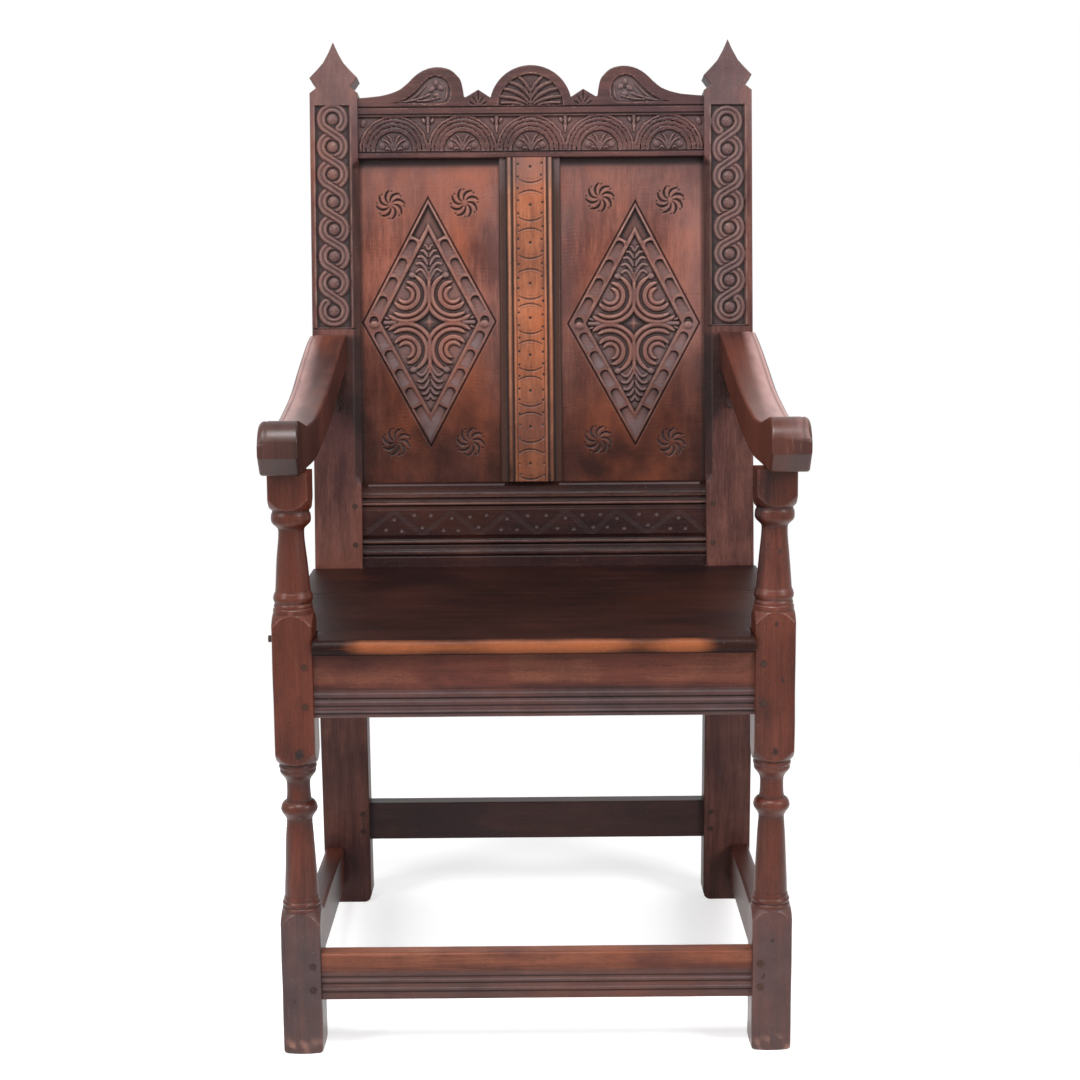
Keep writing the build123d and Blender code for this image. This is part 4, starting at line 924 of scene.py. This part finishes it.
def muntin():
    cols = lines(-MUNTIN_HALF, MUNTIN_HALF, 0.8)
    rows = lines(SILL, LINTEL, 1.0)
    x, s = grid(cols + MUNTIN_OFF, rows)
    r = Relief(x, s)
    r.h += np.interp(abs(cols), MUNTIN_X, MUNTIN_OUT)[:, None]
    for a, b in CIRCLES:
        r.dot((a, b), 1.9, 1.4)
        for ends, middle in ((14.0, 22.8), (-16.2, -25.2)):
            path = bend((a - 15.0, b + ends), (a, b + middle), (a + 15.0, b + ends), 13)
            r.gouge(path, 3.2, 1.0, (0.6, 0.6), 0.9, 0.62)
            low = b + ends * 0.78
            path = bend((a - 14.0, low), (a, b + middle * 0.80), (a + 14.0, low), 13)
            r.gouge(path, 1.4, 0.4, (0.4, 0.4), 0.8, 0.25)
    # a row of punched dots down each side, filled with dust near the seat
    for edge in (-17.6, 13.4):
        for at in np.arange(119.0, 530.0, 16.2):
            dark, dust = (0.2, 0.6) if at < 190 else (0.9, 0.0)
            r.dot((edge + RNG.normal() * 0.4, at + RNG.normal() * 1.3), 1.6, 1.2, dark, dust)
    h, looks = r.finish(3, 0.5, 0.4)
    off = abs(x - MUNTIN_OFF)
    # painted shade on the mouldings' outer slopes, beside the strip and under the crest; darker
    # towards the seat
    looks["shade"] = (1.7 * above(off, 30, 1.5) + 0.6 * (off > 21.5) + 0.8 * below(s, 230, 90)
                      + 0.6 * above(s, 490, 30))
    # dark lines in the grooves beside the beads: painted shade
    looks["cav"] = unit(looks["cav"] + 0.15 * above(off, 29, 2) + 0.5 * near(off, 22.8, 1.5)
                        + 0.6 * near(off, 30.2, 1.6))
    # painted highlights on the beads, higher up, in the worn colour
    beads = near(off, OUTER_BEAD, 1.9) + 0.5 * near(off, INNER_BEAD, 1.6)
    looks["wear"] = np.maximum(looks["wear"], np.clip((s - 250) / 120, 0.15, 1) * beads)
    looks["dust"] = np.maximum(looks["dust"], 0.5 * above(s, 480, 30))
    board("muntin", MUNTIN, x, s, h - MUNTIN_SET, RAIL_SET + 23, looks)


# of each panel: inner and outer edge, the lozenge's corners, and the whorls' centres
PANELS = {
    -1: (-35.5, -231, ((-134.9, 483.0), (-134.1, 157.6), (-221.9, 319.9), (-47.3, 320.0)),
         ((-183.7, 472.8), (-87.3, 474.3), (-179.2, 164.3), (-82.4, 163.5))),
    1: (30.5, 231, ((135.0, 476.4), (133.3, 157.5), (45.6, 317.7), (218.4, 314.9)),
        ((89.1, 480.0), (180.2, 476.0), (84.9, 165.4), (180.4, 161.4))),
}


def panel(side, name):
    near_edge, far_edge, corners, wheels = PANELS[side]
    x0, x1 = sorted((near_edge, far_edge))
    carved = (side * 132 - 90, side * 132 + 90)
    rows = np.concatenate([lines(104.5, 140, 5), lines(140, 500, 0.92), lines(500, 538.5, 5)])
    cols = np.concatenate([lines(x0, carved[0], 6), lines(*carved, 0.92), lines(carved[1], x1, 6)])
    x, s = grid(np.unique(cols), np.unique(rows))
    r = Relief(x, s)
    lozenge(r, *corners)
    for k, c in enumerate(wheels):
        pinwheel(r, c, 8.0 + 9 * k, k > 1)
    h, looks = r.finish(3, 0.36, 0.5)
    # the plane's ripple, in patches
    spots = on_back(x, s, 0 * x)
    ripple = np.sin(s * 1.25 + 2.5 * wobble(spots, 60, 31) + 1.5 * wobble(spots, 17, 32))
    h = h - 0.17 * (0.5 + 0.5 * ripple) * unit(wobble(spots, 70, 33 + side) + 0.4)
    # painted shadow under the crest, and a dark edge by the stile
    looks["cav"] = unit(looks["cav"] + 0.9 * above(s, 521, 1.5) + 0.55 * above(abs(x), 218.5, 2.5))
    # the right panel is lighter and greyer towards its stile: a painted sheen; both are a little
    # darker and greyer by the muntin
    middle = above(s, 190, 120) * below(s, 500, 60)
    far = np.exp(-(((x - side * 222) / 40) ** 2)) * middle if side > 0 else 0 * x
    close = np.exp(-(((x - near_edge) / 32) ** 2)) * middle
    looks["tone"] = 0.7 * far - 0.25 * close
    dust = looks["dust"] + 0.35 * far + 0.3 * close + 0.35 * above(s, 420, 70)
    looks["dust"] = unit(dust)
    by_stile = 1 - unit(abs(x - far_edge) / 30)
    by_muntin = 1 - unit(abs(x - near_edge) / 10)
    # painted shade: darker towards the bottom, under the crest, in the arms' shadows at the lower
    # outer corners, and beside the muntin
    shade = 1.35 * below(s, 340, 190) ** 0.8 + 1.5 * above(s, 512, 18)
    shade = shade + 0.9 * by_stile * below(s, 380, 150) + 1.1 * by_muntin
    looks["shade"] = np.clip(shade, 0, 1.7)
    out = h - PANEL_SET + 0.3 * wobble(spots, 110, 17 + side)
    board(name, PANEL, x, s, out, PANEL_SET + 9, looks)


# ------------ front posts
# height and radius of the turned parts; the blocks' rounded shoulders reach into them
TURNING = np.array([
    (0, 30), (158, 21.3), (162, 20.6), (163.4, 19.2), (164.5, 19.9), (166.5, 20.6), (168.5, 19.8),
    (169.5, 18.9), (171, 19.0), (173, 18.6), (174.5, 18.0), (190, 17.5), (216, 16.2), (242, 14.7),
    (256, 13.7), (260, 13.8), (263, 15.2), (266, 17.2), (268.5, 19), (271.5, 19.7), (274.5, 19.1),
    (276.5, 18.4), (278.5, 16.8), (280, 13.8), (285, 12.9), (291.5, 12.5), (298, 12.4), (302, 12.7),
    (305, 14.0), (308, 16.2), (310.5, 18.3), (312.5, 19.2), (314.5, 19.3), (315.6, 18.7),
    (316.6, 19.6), (318.5, 20.2), (320.5, 19.6), (321.6, 19.2), (323.5, 21.3), (404, 30),
    (484.5, 21.3), (489.4, 21.2), (490.4, 20.0), (492.4, 20.4), (494.6, 19.9), (495.8, 19.1),
    (497, 19.8), (499.5, 20.8), (502, 20.9), (504.5, 20.2), (506, 19.8), (507.2, 18.9),
    (508.5, 18.6), (518, 17.9), (531, 17.0), (544, 15.9), (556, 14.6), (564, 13.8), (572, 13.5),
    (575, 14.0), (577.5, 16.4), (579.5, 18.7), (582, 20.4), (585, 20.9), (588, 20.7),
    (590.5, 20.4), (592, 19.4), (594, 19.2), (596, 21.2), (610, 30), (635, 30),
])
# square blocks: low, high, and whether each end is rounded
BLOCKS = ((0, 158, 0, 1), (323.5, 484.5, 1, 1), (596, 635, 1, 0))
# knots and dents on the front faces: height, offset and radius
KNOTS = {
    -1: ((335.4, 4.4, 5.2), (60, -8, 1.6)),
    1: ((335, 0.5, 3.6), (471.7, 0, 2.6), (412, 8, 2.2), (85, -9.4, 2.6), (125, 0, 2.2),
        (548, 5, 2.4)),
}


def turned_radius(z):
    """The radius that cuts a post's square stock at a height."""
    neck, bulge, shoulder, beyond = 21.2, 9.0, 13.5, 5.0
    r = np.interp(z, *TURNING.T)
    for low, high, round_low, round_high in BLOCKS:
        inside = (z >= low) & (z <= high)
        reach = np.full_like(z, 99.0)
        if round_low:
            reach = np.minimum(reach, z - low)
        if round_high:
            reach = np.minimum(reach, high - z)
        bulb = neck + bulge * unit(reach / shoulder) ** 0.8 + beyond * (reach > shoulder)
        r = np.where(inside, bulb, r)
    return r


def front_post(side, name):
    z = np.unique(np.concatenate([
        lines(0, 140, 3, [0.4, 1.2, 2.6, 5]), lines(140, 345, 0.8), lines(345, 462, 3),
        lines(462, 635, 0.8),
    ]))
    count = 112
    phi = np.arange(count) * 2 * math.pi / count + 0.001
    cos, sin = np.cos(phi), np.sin(phi)
    power = 17.0                                     # of the square's rounded corners
    square = 21.5 / (abs(cos)**power + abs(sin)**power) ** (1 / power)
    r = turned_radius(z)
    z = z[:, None]
    ring = np.minimum(square[None, :], r[:, None])
    worn = np.clip(5 - z, 0, 5) / 5
    ring = ring * (1 - 0.03 * worn**2) - worn**3 * np.clip(ring - 22, 0, 9) * 0.4
    spots = np.stack(np.broadcast_arrays(ring * cos, ring * sin, z), -1)
    ring = ring + 0.2 * wobble(spots, 60, 11 + side)
    points = np.stack([
        side * POST_X + ring * cos[None, :], YP + POST / 2 + ring * sin[None, :], z + 0 * ring,
    ], -1)
    # blurred along the post, so that the grooves come out dark: dirt and painted shade
    solid = np.minimum(r, 24)
    blurred = np.convolve(np.pad(solid, 6, "edge"), np.ones(13) / 13, "valid")
    cav = np.clip((blurred - solid) * 0.35, 0, 0.8)[:, None] + 0 * ring
    r = r[:, None]
    wear = unit(1 - abs(square[None, :] - r) / 0.9) * (r < 30)
    wear = 0.6 * np.maximum(wear, 0.35 * above(square[None, :], 26.0, 3) * (r > 30))
    wear = wear * unit(0.7 + wobble(points * 1000, 14, 9))
    wear = np.maximum(wear, 0.9 * below(z, 26, 22) * unit(wobble(points, 30, 8) + 0.2))
    low = below(z, 162, 4)
    # the turned parts are darker at their sides: painted shade
    turned = (r < 21) & (z > 158)
    tone = np.where(turned, 0.05 - 1.1 * unit(abs(cos) - 0.62), -0.2 * low)
    front = np.where(sin < 0, ring * cos, 99.0)
    for z0, u0, size in KNOTS[side]:
        away = np.hypot(front - u0, (z - z0) * 0.8) + 1.5 * wobble(points * 1000, 4, 5)
        cav = np.maximum(cav, 0.95 * below(away, size, 1.6))
    loft(name, FRAME_Z, points, {"cav": cav, "wear": wear, "dust": 0.3 * low, "tone": tone})


# ------------ arms
# behind the scroll: share of the way to the stile, and height of the top and the underside
ARM_TOP = np.array([(0.24, 678.5), (0.41, 686.9), (0.58, 702.7), (0.76, 728.6), (0.93, 753.7),
                    (1, 762)])
ARM_UNDER = np.array([(0.24, 635), (0.41, 643.1), (0.58, 658.5), (0.76, 683.6), (0.93, 707.9),
                      (1, 716)])
ARM_TOP_BACK, ARM_UNDER_BACK = 487.8, 482.4          # how far back those meet the stile
ARM_END, ARM_LOW, ARM_WIDE = 486, 635, 40.6
SCROLL_R, SCROLL_FROM, SCROLL_TO, FACET_TO = 28.25, 17, 88, 72
SCROLL_OUT = {-1: 276.0, 1: 281.5}


def smooth_through(keys, at):
    """A smooth curve through points, monotone between them."""
    x, y = keys[:, 0], keys[:, 1]
    h, d = np.diff(x), np.diff(y) / np.diff(x)
    m = np.concatenate([[d[0]], (d[:-1] + d[1:]) / 2, [d[-1]]])
    flat = np.concatenate([[False], d[:-1] * d[1:] <= 0, [False]])
    m[flat] = 0
    k = np.clip(np.searchsorted(x, at) - 1, 0, len(h) - 1)
    t = unit((at - x[k]) / h[k])
    return ((2 * t**3 - 3 * t**2 + 1) * y[k] + (t**3 - 2 * t**2 + t) * h[k] * m[k]
            + (3 * t**2 - 2 * t**3) * y[k + 1] + (t**3 - t**2) * h[k] * m[k + 1])


def arm(side, name):
    left = side < 0
    r, scroll_out = SCROLL_R, SCROLL_OUT[side]
    eye = (-49.8 + r * math.cos(math.radians(SCROLL_FROM)), ARM_LOW + r)
    turn = np.radians(np.linspace(SCROLL_FROM, SCROLL_TO, 22))
    y_scroll = eye[0] - r * np.cos(turn)
    y = np.concatenate([y_scroll, np.linspace(eye[0] + 2, ARM_END, 120)])
    top_key = np.concatenate([[(eye[0], 691.5), (eye[0] + 14, 690.0), (30, 684), (62, 679.2)],
                              ARM_TOP * (ARM_TOP_BACK, 1)])
    under_key = np.concatenate([[(eye[0], ARM_LOW), (60, ARM_LOW)],
                                ARM_UNDER * (ARM_UNDER_BACK, 1)])
    top = smooth_through(top_key, y)
    under = smooth_through(under_key, y)
    n = len(turn)
    top[:n] = eye[1] + r * np.sin(turn)
    # the scroll's front is cut flat below its eye
    facet = np.radians([SCROLL_FROM, FACET_TO])
    facet = np.interp(y_scroll, eye[0] - r * np.cos(facet), np.sin(facet))
    under[:n] = eye[1] - r * np.where(turn < math.radians(FACET_TO), facet, np.sin(turn))
    along = unit((y + 50) / (ARM_END + 50))
    bow = 4 * 3.0 * along * (1 - along)
    outer = scroll_out + (290.5 - scroll_out) * along + bow
    inner = (scroll_out - ARM_WIDE) + (242.0 - scroll_out + ARM_WIDE) * along + bow
    rings = []
    for k in range(len(y)):
        edge = min(7.0, (top[k] - under[k]) * 0.3)
        radii = (2.5, 2.5, edge, 2.2)
        rings.append(round_ring(inner[k], outer[k], under[k], top[k], radii, (22, 8), 6))
    x, z = np.moveaxis(np.array(rings), -1, 0)
    y = y[:, None] + 0 * x
    # the thumb moulding is set off by a fine line
    near_top = z > (top[:, None] - 1.2)
    from_edge = outer[:, None] - x
    line = np.exp(-((from_edge - 7.5) / 1.1) ** 2) * near_top
    p = np.stack([side * x, YP + y, z - 0.9 * line], -1)
    p[..., 2] += 0.3 * wobble(p, 180, 21 + side)
    # the outer half of the top is paler: worn by hands and sleeves, and a painted sheen of the
    # bright room, less on the left arm
    rubbed_and_sheen = np.clip(1.25 - from_edge / (20 + 16 * (1 - along))[:, None], 0, 1)
    rubbed_and_sheen = near_top * rubbed_and_sheen * (0.75 if left else 1)
    rubbed_and_sheen = rubbed_and_sheen * np.clip((y - eye[0] + 8) / 20, 0.2 if left else 0.45, 1)
    # the scroll's front is darkened: painted shade, deeper on the left arm
    murk = (0.9 if left else 0.3) * below(y, 12, 10)
    looks = {"cav": 0.6 * line, "wear": rubbed_and_sheen, "shade": murk}
    if not left:
        p, looks = p[:, ::-1], {key: value[:, ::-1] for key, value in looks.items()}
    loft(name, FRAME_Y, p, looks)


# ------------ rails
def rail(name, finish, ends, y, z, radius=1.5, cuts=(), pale=(), murky=0.0):
    """A bar along X: scratched lines on its face, pale arrises (painted highlights), and
    murky up to a height.

    cuts: height and depth of each line. pale: heights of the arrises.
    """
    xs = lines(*ends, 6)
    ring = round_ring(*y, *z, (radius,) * 4, (4, 90), 4)
    rings = np.repeat(ring[None], len(xs), 0)
    yy, zz = rings[..., 0].copy(), rings[..., 1].copy()
    face = yy < y[0] + 0.2
    cav = 0 * yy
    up = zz - z[0]
    for at, deep in cuts:
        cut = np.clip(1.7 - abs(up - at), 0, 1.6) * face * deep
        yy += cut * 0.9
        cav += unit(cut) * 0.75
    # pale lines along the arrises: painted highlights, in the dust attribute
    dust = sum((near(up, at, 1.3) * face for at in pale), 0 * yy)
    low = below(up, murky, 3) * face
    yy += 0.7 * low
    p = np.stack([xs[:, None] + 0 * yy, yy, zz], -1)
    p[..., 1] += 0.3 * wobble(p, 80, len(name)) * 0.7
    over = above(up, murky + 2, 6) * (murky > 0)
    wear = 0.3 * over * unit(0.5 + wobble(p, 130, 77))
    loft(name, finish, p, {"cav": cav, "wear": wear, "dust": np.maximum(dust, 0.3 * low),
                           "shade": 0.6 * low, "tone": 0.4 * over})


def leg_face(z):
    """The front of the back legs at a height."""
    return YS + (SEAT - z) * math.tan(KICK)


def side_line(y, inset):
    """The outer line of the side members at y, from the posts out to the stiles."""
    share = (y - YP - POST) / (YS - YP - POST)
    return SIDE_OUT + (STILE_OUT - SIDE_OUT) * share - inset


def side_bar(name, side, z, rise):
    """A bar from post to leg, near their outer faces, that rises towards the front."""
    ys = np.linspace(YP + POST, YS, 60)
    ys[-1] = leg_face((z[0] + z[1]) / 2)
    rings = []
    for y in ys:
        up = rise * (YS - y) / (YS - YP - POST)
        outer = side_line(y, 3.0)
        ring = round_ring(outer - RAIL_THICK, outer, z[0] + up, z[1] + up, (2,) * 4, (4, 10), 4)
        rings.append(np.stack([ring[:, 0], 0 * ring[:, 0] + y, ring[:, 1]], -1))
    p = np.array(rings)
    p = p[:, ::-1] if side > 0 else p * (-1, 1, 1)
    plain = 0 * p[..., 0]
    loft(name, FRAME_Y, p, {"cav": plain, "wear": plain})


# ------------ seat
SEAT_THICK = 17
NOSE = 8.5                     # radius of the seat's front edge
SEAT_LIP = 12                  # how far it stands over the posts' front
FRONT_BOARD = 278
BOARD_GAP = 0.5


def seat(name, y0, y1, nose):
    """A seat board: its sides follow the side rails and clear the posts and stiles."""
    step = YP + POST + 0.5 if nose else YS - 0.5     # where its width changes
    if nose:
        t = np.radians(np.linspace(3, 90, 12))
        ys = [y0 + NOSE - NOSE * np.cos(t), [y0 + 12, y0 + 20, y0 + 35, step - 0.01, step + 0.01],
              np.linspace(YP + POST + 6, y1 - 1.2, 26), [y1 - 0.4, y1]]
    else:
        ys = [[y0, y0 + 0.4, y0 + 1.2], np.linspace(y0 + 6, step - 0.01, 20),
              [step + 0.01, y1 - 1, y1]]
    rings = []
    for y in np.unique(np.concatenate(ys).round(4)):
        high, low = SEAT, SEAT - SEAT_THICK
        wide = side_line(y, 3.0) + 6
        if nose and y < step:
            wide = POST_X - 22
        if not nose and y > step:
            wide = STILE_IN - 0.5
        if nose and y < y0 + NOSE:
            drop = NOSE - math.sqrt(max(NOSE**2 - (y0 + NOSE - y) ** 2, 0.0))
            high, low = high - drop, low + drop
        edge = min(y1 - y, y - y0 if not nose else 9)
        drop = 1.0 - math.sqrt(max(1 - max(1 - edge, 0) ** 2, 0))
        ring = round_ring(-wide, wide, low + drop, high - drop, (2,) * 4, (140, 2), 3)
        rings.append(np.stack([ring[:, 0], 0 * ring[:, 0] + y, ring[:, 1]], -1))
    p = np.array(rings)[:, ::-1]
    x, y, z = np.moveaxis(p, -1, 0)
    # the board's unevenness dies away at the step
    calm = unit((abs(y - step) - 1) / 24)
    uneven = 0.25 * wobble(p, 120, 31) * (z > SEAT - 9) * calm
    p[..., 2] += uneven
    # the front edge is rubbed pale, least at its ends
    wear = below(y - y0, 9, 9) * nose
    wear = wear * np.clip((205 - abs(x + 5)) / 30, 0.12, 1)
    wear = wear * np.clip(0.8 + 0.4 * wobble(p, 110, 5), 0.3, 1)
    # the board's lowest millimetres are dark: painted shadow under its edge
    loft(name, SEAT_OAK, p, {"cav": 0.9 * below(z, SEAT - 14, 2), "wear": wear})


def build():
    for side, tag in ((-1, "left"), (1, "right")):
        stile(side, f"stile_{tag}")
        panel(side, f"panel_{tag}")
        front_post(side, f"front_post_{tag}")
        arm(side, f"arm_{tag}")
        side_bar(f"side_seat_rail_{tag}", side, RAIL_Z, 0)
        side_bar(f"side_stretcher_{tag}", side, (26, 78), 28)
    crest()
    lower_rail()
    muntin()
    front, face = (-232.5, 232.5), YP + 4
    rail("front_seat_rail", FRAME_X, front, (face, face + RAIL_THICK), RAIL_Z,
         cuts=((31, 0.35), (20.2, 1), (12, 0.7), (3.7, 0.8)), pale=(26, 17.0, 6.6), murky=31)
    rail("front_stretcher", LOW_X, front, (face, face + 21), (60, 112.5), 2.5,
         cuts=((25.7, 0.6), (18.2, 0.7), (8.6, 0.7)), pale=(22.5, 12.9), murky=34)
    for name, z, inset in (("rear_seat_rail", RAIL_Z, 3), ("rear_stretcher", (87, 137), 8)):
        back = leg_face(z[1]) + inset
        rail(name, REAR, (-STILE_IN, STILE_IN), (back, back + RAIL_THICK), z)
    join = YP - SEAT_LIP + FRONT_BOARD
    seat("seat_board_front", YP - SEAT_LIP, join - BOARD_GAP / 2, True)
    seat("seat_board_rear", join + BOARD_GAP / 2, YS + 13, False)
    for name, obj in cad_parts.items():
        if name.startswith(("pegs", "pins")):
            dress(obj, PEG)


# ------------ camera and light
def camera():
    data = bpy.data.cameras.new("camera")
    data.lens, data.sensor_width = 58.37, 36
    cam = bpy.data.objects.new("camera", data)
    bpy.context.scene.collection.objects.link(cam)
    pitch = Matrix.Rotation(math.radians(90 - 8.526), 3, "X")
    turn = pitch @ Matrix.Rotation(-0.0082, 3, "Z")
    place = Matrix.Translation((0.0074, -1.7999 + YP * 0.001, 0.8331))
    cam.matrix_world = place @ turn.to_4x4()
    bpy.context.scene.camera = cam


def lamp(name, place, size, power):
    data = bpy.data.lights.new(name, "AREA")
    data.shape, data.size, data.size_y, data.energy = "RECTANGLE", *size, power
    obj = bpy.data.objects.new(name, data)
    obj.location = place
    obj.rotation_mode = "QUATERNION"
    aim = Vector((0, 0.1, 0.6))
    obj.rotation_quaternion = (aim - Vector(place)).to_track_quat("-Z", "Y")
    bpy.context.scene.collection.objects.link(obj)


def white_to_the_camera(tree, plain, shown):
    """A shader that shows white to the camera, mirrors and glass, and is plain to light."""
    path = node(tree, "ShaderNodeLightPath").outputs
    seen = path["Is Camera Ray"]
    for ray in ("Is Glossy Ray", "Is Transmission Ray"):
        either = {0: seen, 1: path[ray]}
        seen = node(tree, "ShaderNodeMath", either, operation="MAXIMUM").outputs[0]
    return node(tree, "ShaderNodeMixShader", {0: seen, 1: plain.outputs[0], 2: shown.outputs[0]})


def stage():
    """A white studio: the floor keeps the chair's shadow and turns white away from it."""
    white = (1, 1, 1, 1)
    world = bpy.data.worlds.new("studio")
    bpy.context.scene.world = world
    tree = tree_of(world)
    light = node(tree, "ShaderNodeBackground", {"Color": white, "Strength": 0.30})
    shown = node(tree, "ShaderNodeBackground", {"Color": white, "Strength": 1.0})
    out = node(tree, "ShaderNodeOutputWorld")
    tree.links.new(white_to_the_camera(tree, light, shown).outputs[0], out.inputs[0])
    lamp("key", (-0.25, -1.35, 3.0), (1.3, 0.7), 88)
    lamp("left", (-1.95, -1.5, 1.7), (0.8, 1.1), 36)
    lamp("right", (1.95, -1.5, 1.7), (0.8, 1.1), 43)
    mesh = bpy.data.meshes.new("floor")
    r = 12.0
    mesh.from_pydata([(-r, -r, 0), (r, -r, 0), (r, r, 0), (-r, r, 0)], [], [(0, 1, 2, 3)])
    floor = bpy.data.objects.new("floor", mesh)
    bpy.context.scene.collection.objects.link(floor)
    mat = bpy.data.materials.new("floor")
    tree = tree_of(mat)
    paint = node(tree, "ShaderNodeBsdfDiffuse", {"Color": (0.82, 0.82, 0.82, 1)})
    glow = node(tree, "ShaderNodeEmission", {"Color": white, "Strength": 0.62})
    summed = node(tree, "ShaderNodeAddShader", {0: paint.outputs[0], 1: glow.outputs[0]})
    bright = node(tree, "ShaderNodeEmission", {"Color": white, "Strength": 1.0})
    where = node(tree, "ShaderNodeTexCoord").outputs["Object"]
    away = node(tree, "ShaderNodeVectorMath", {0: where}, operation="LENGTH").outputs["Value"]
    sockets = {0: away, 1: 0.7, 2: 1.3}
    far = node(tree, "ShaderNodeMapRange", sockets, interpolation_type="SMOOTHSTEP").outputs[0]
    sockets = {0: far, 1: summed.outputs[0], 2: bright.outputs[0]}
    shown = node(tree, "ShaderNodeMixShader", sockets)
    out = node(tree, "ShaderNodeOutputMaterial")
    tree.links.new(white_to_the_camera(tree, paint, shown).outputs[0], out.inputs[0])
    mesh.materials.append(mat)


bpy.context.scene.view_settings.view_transform = "Standard"
camera()
stage()
build()
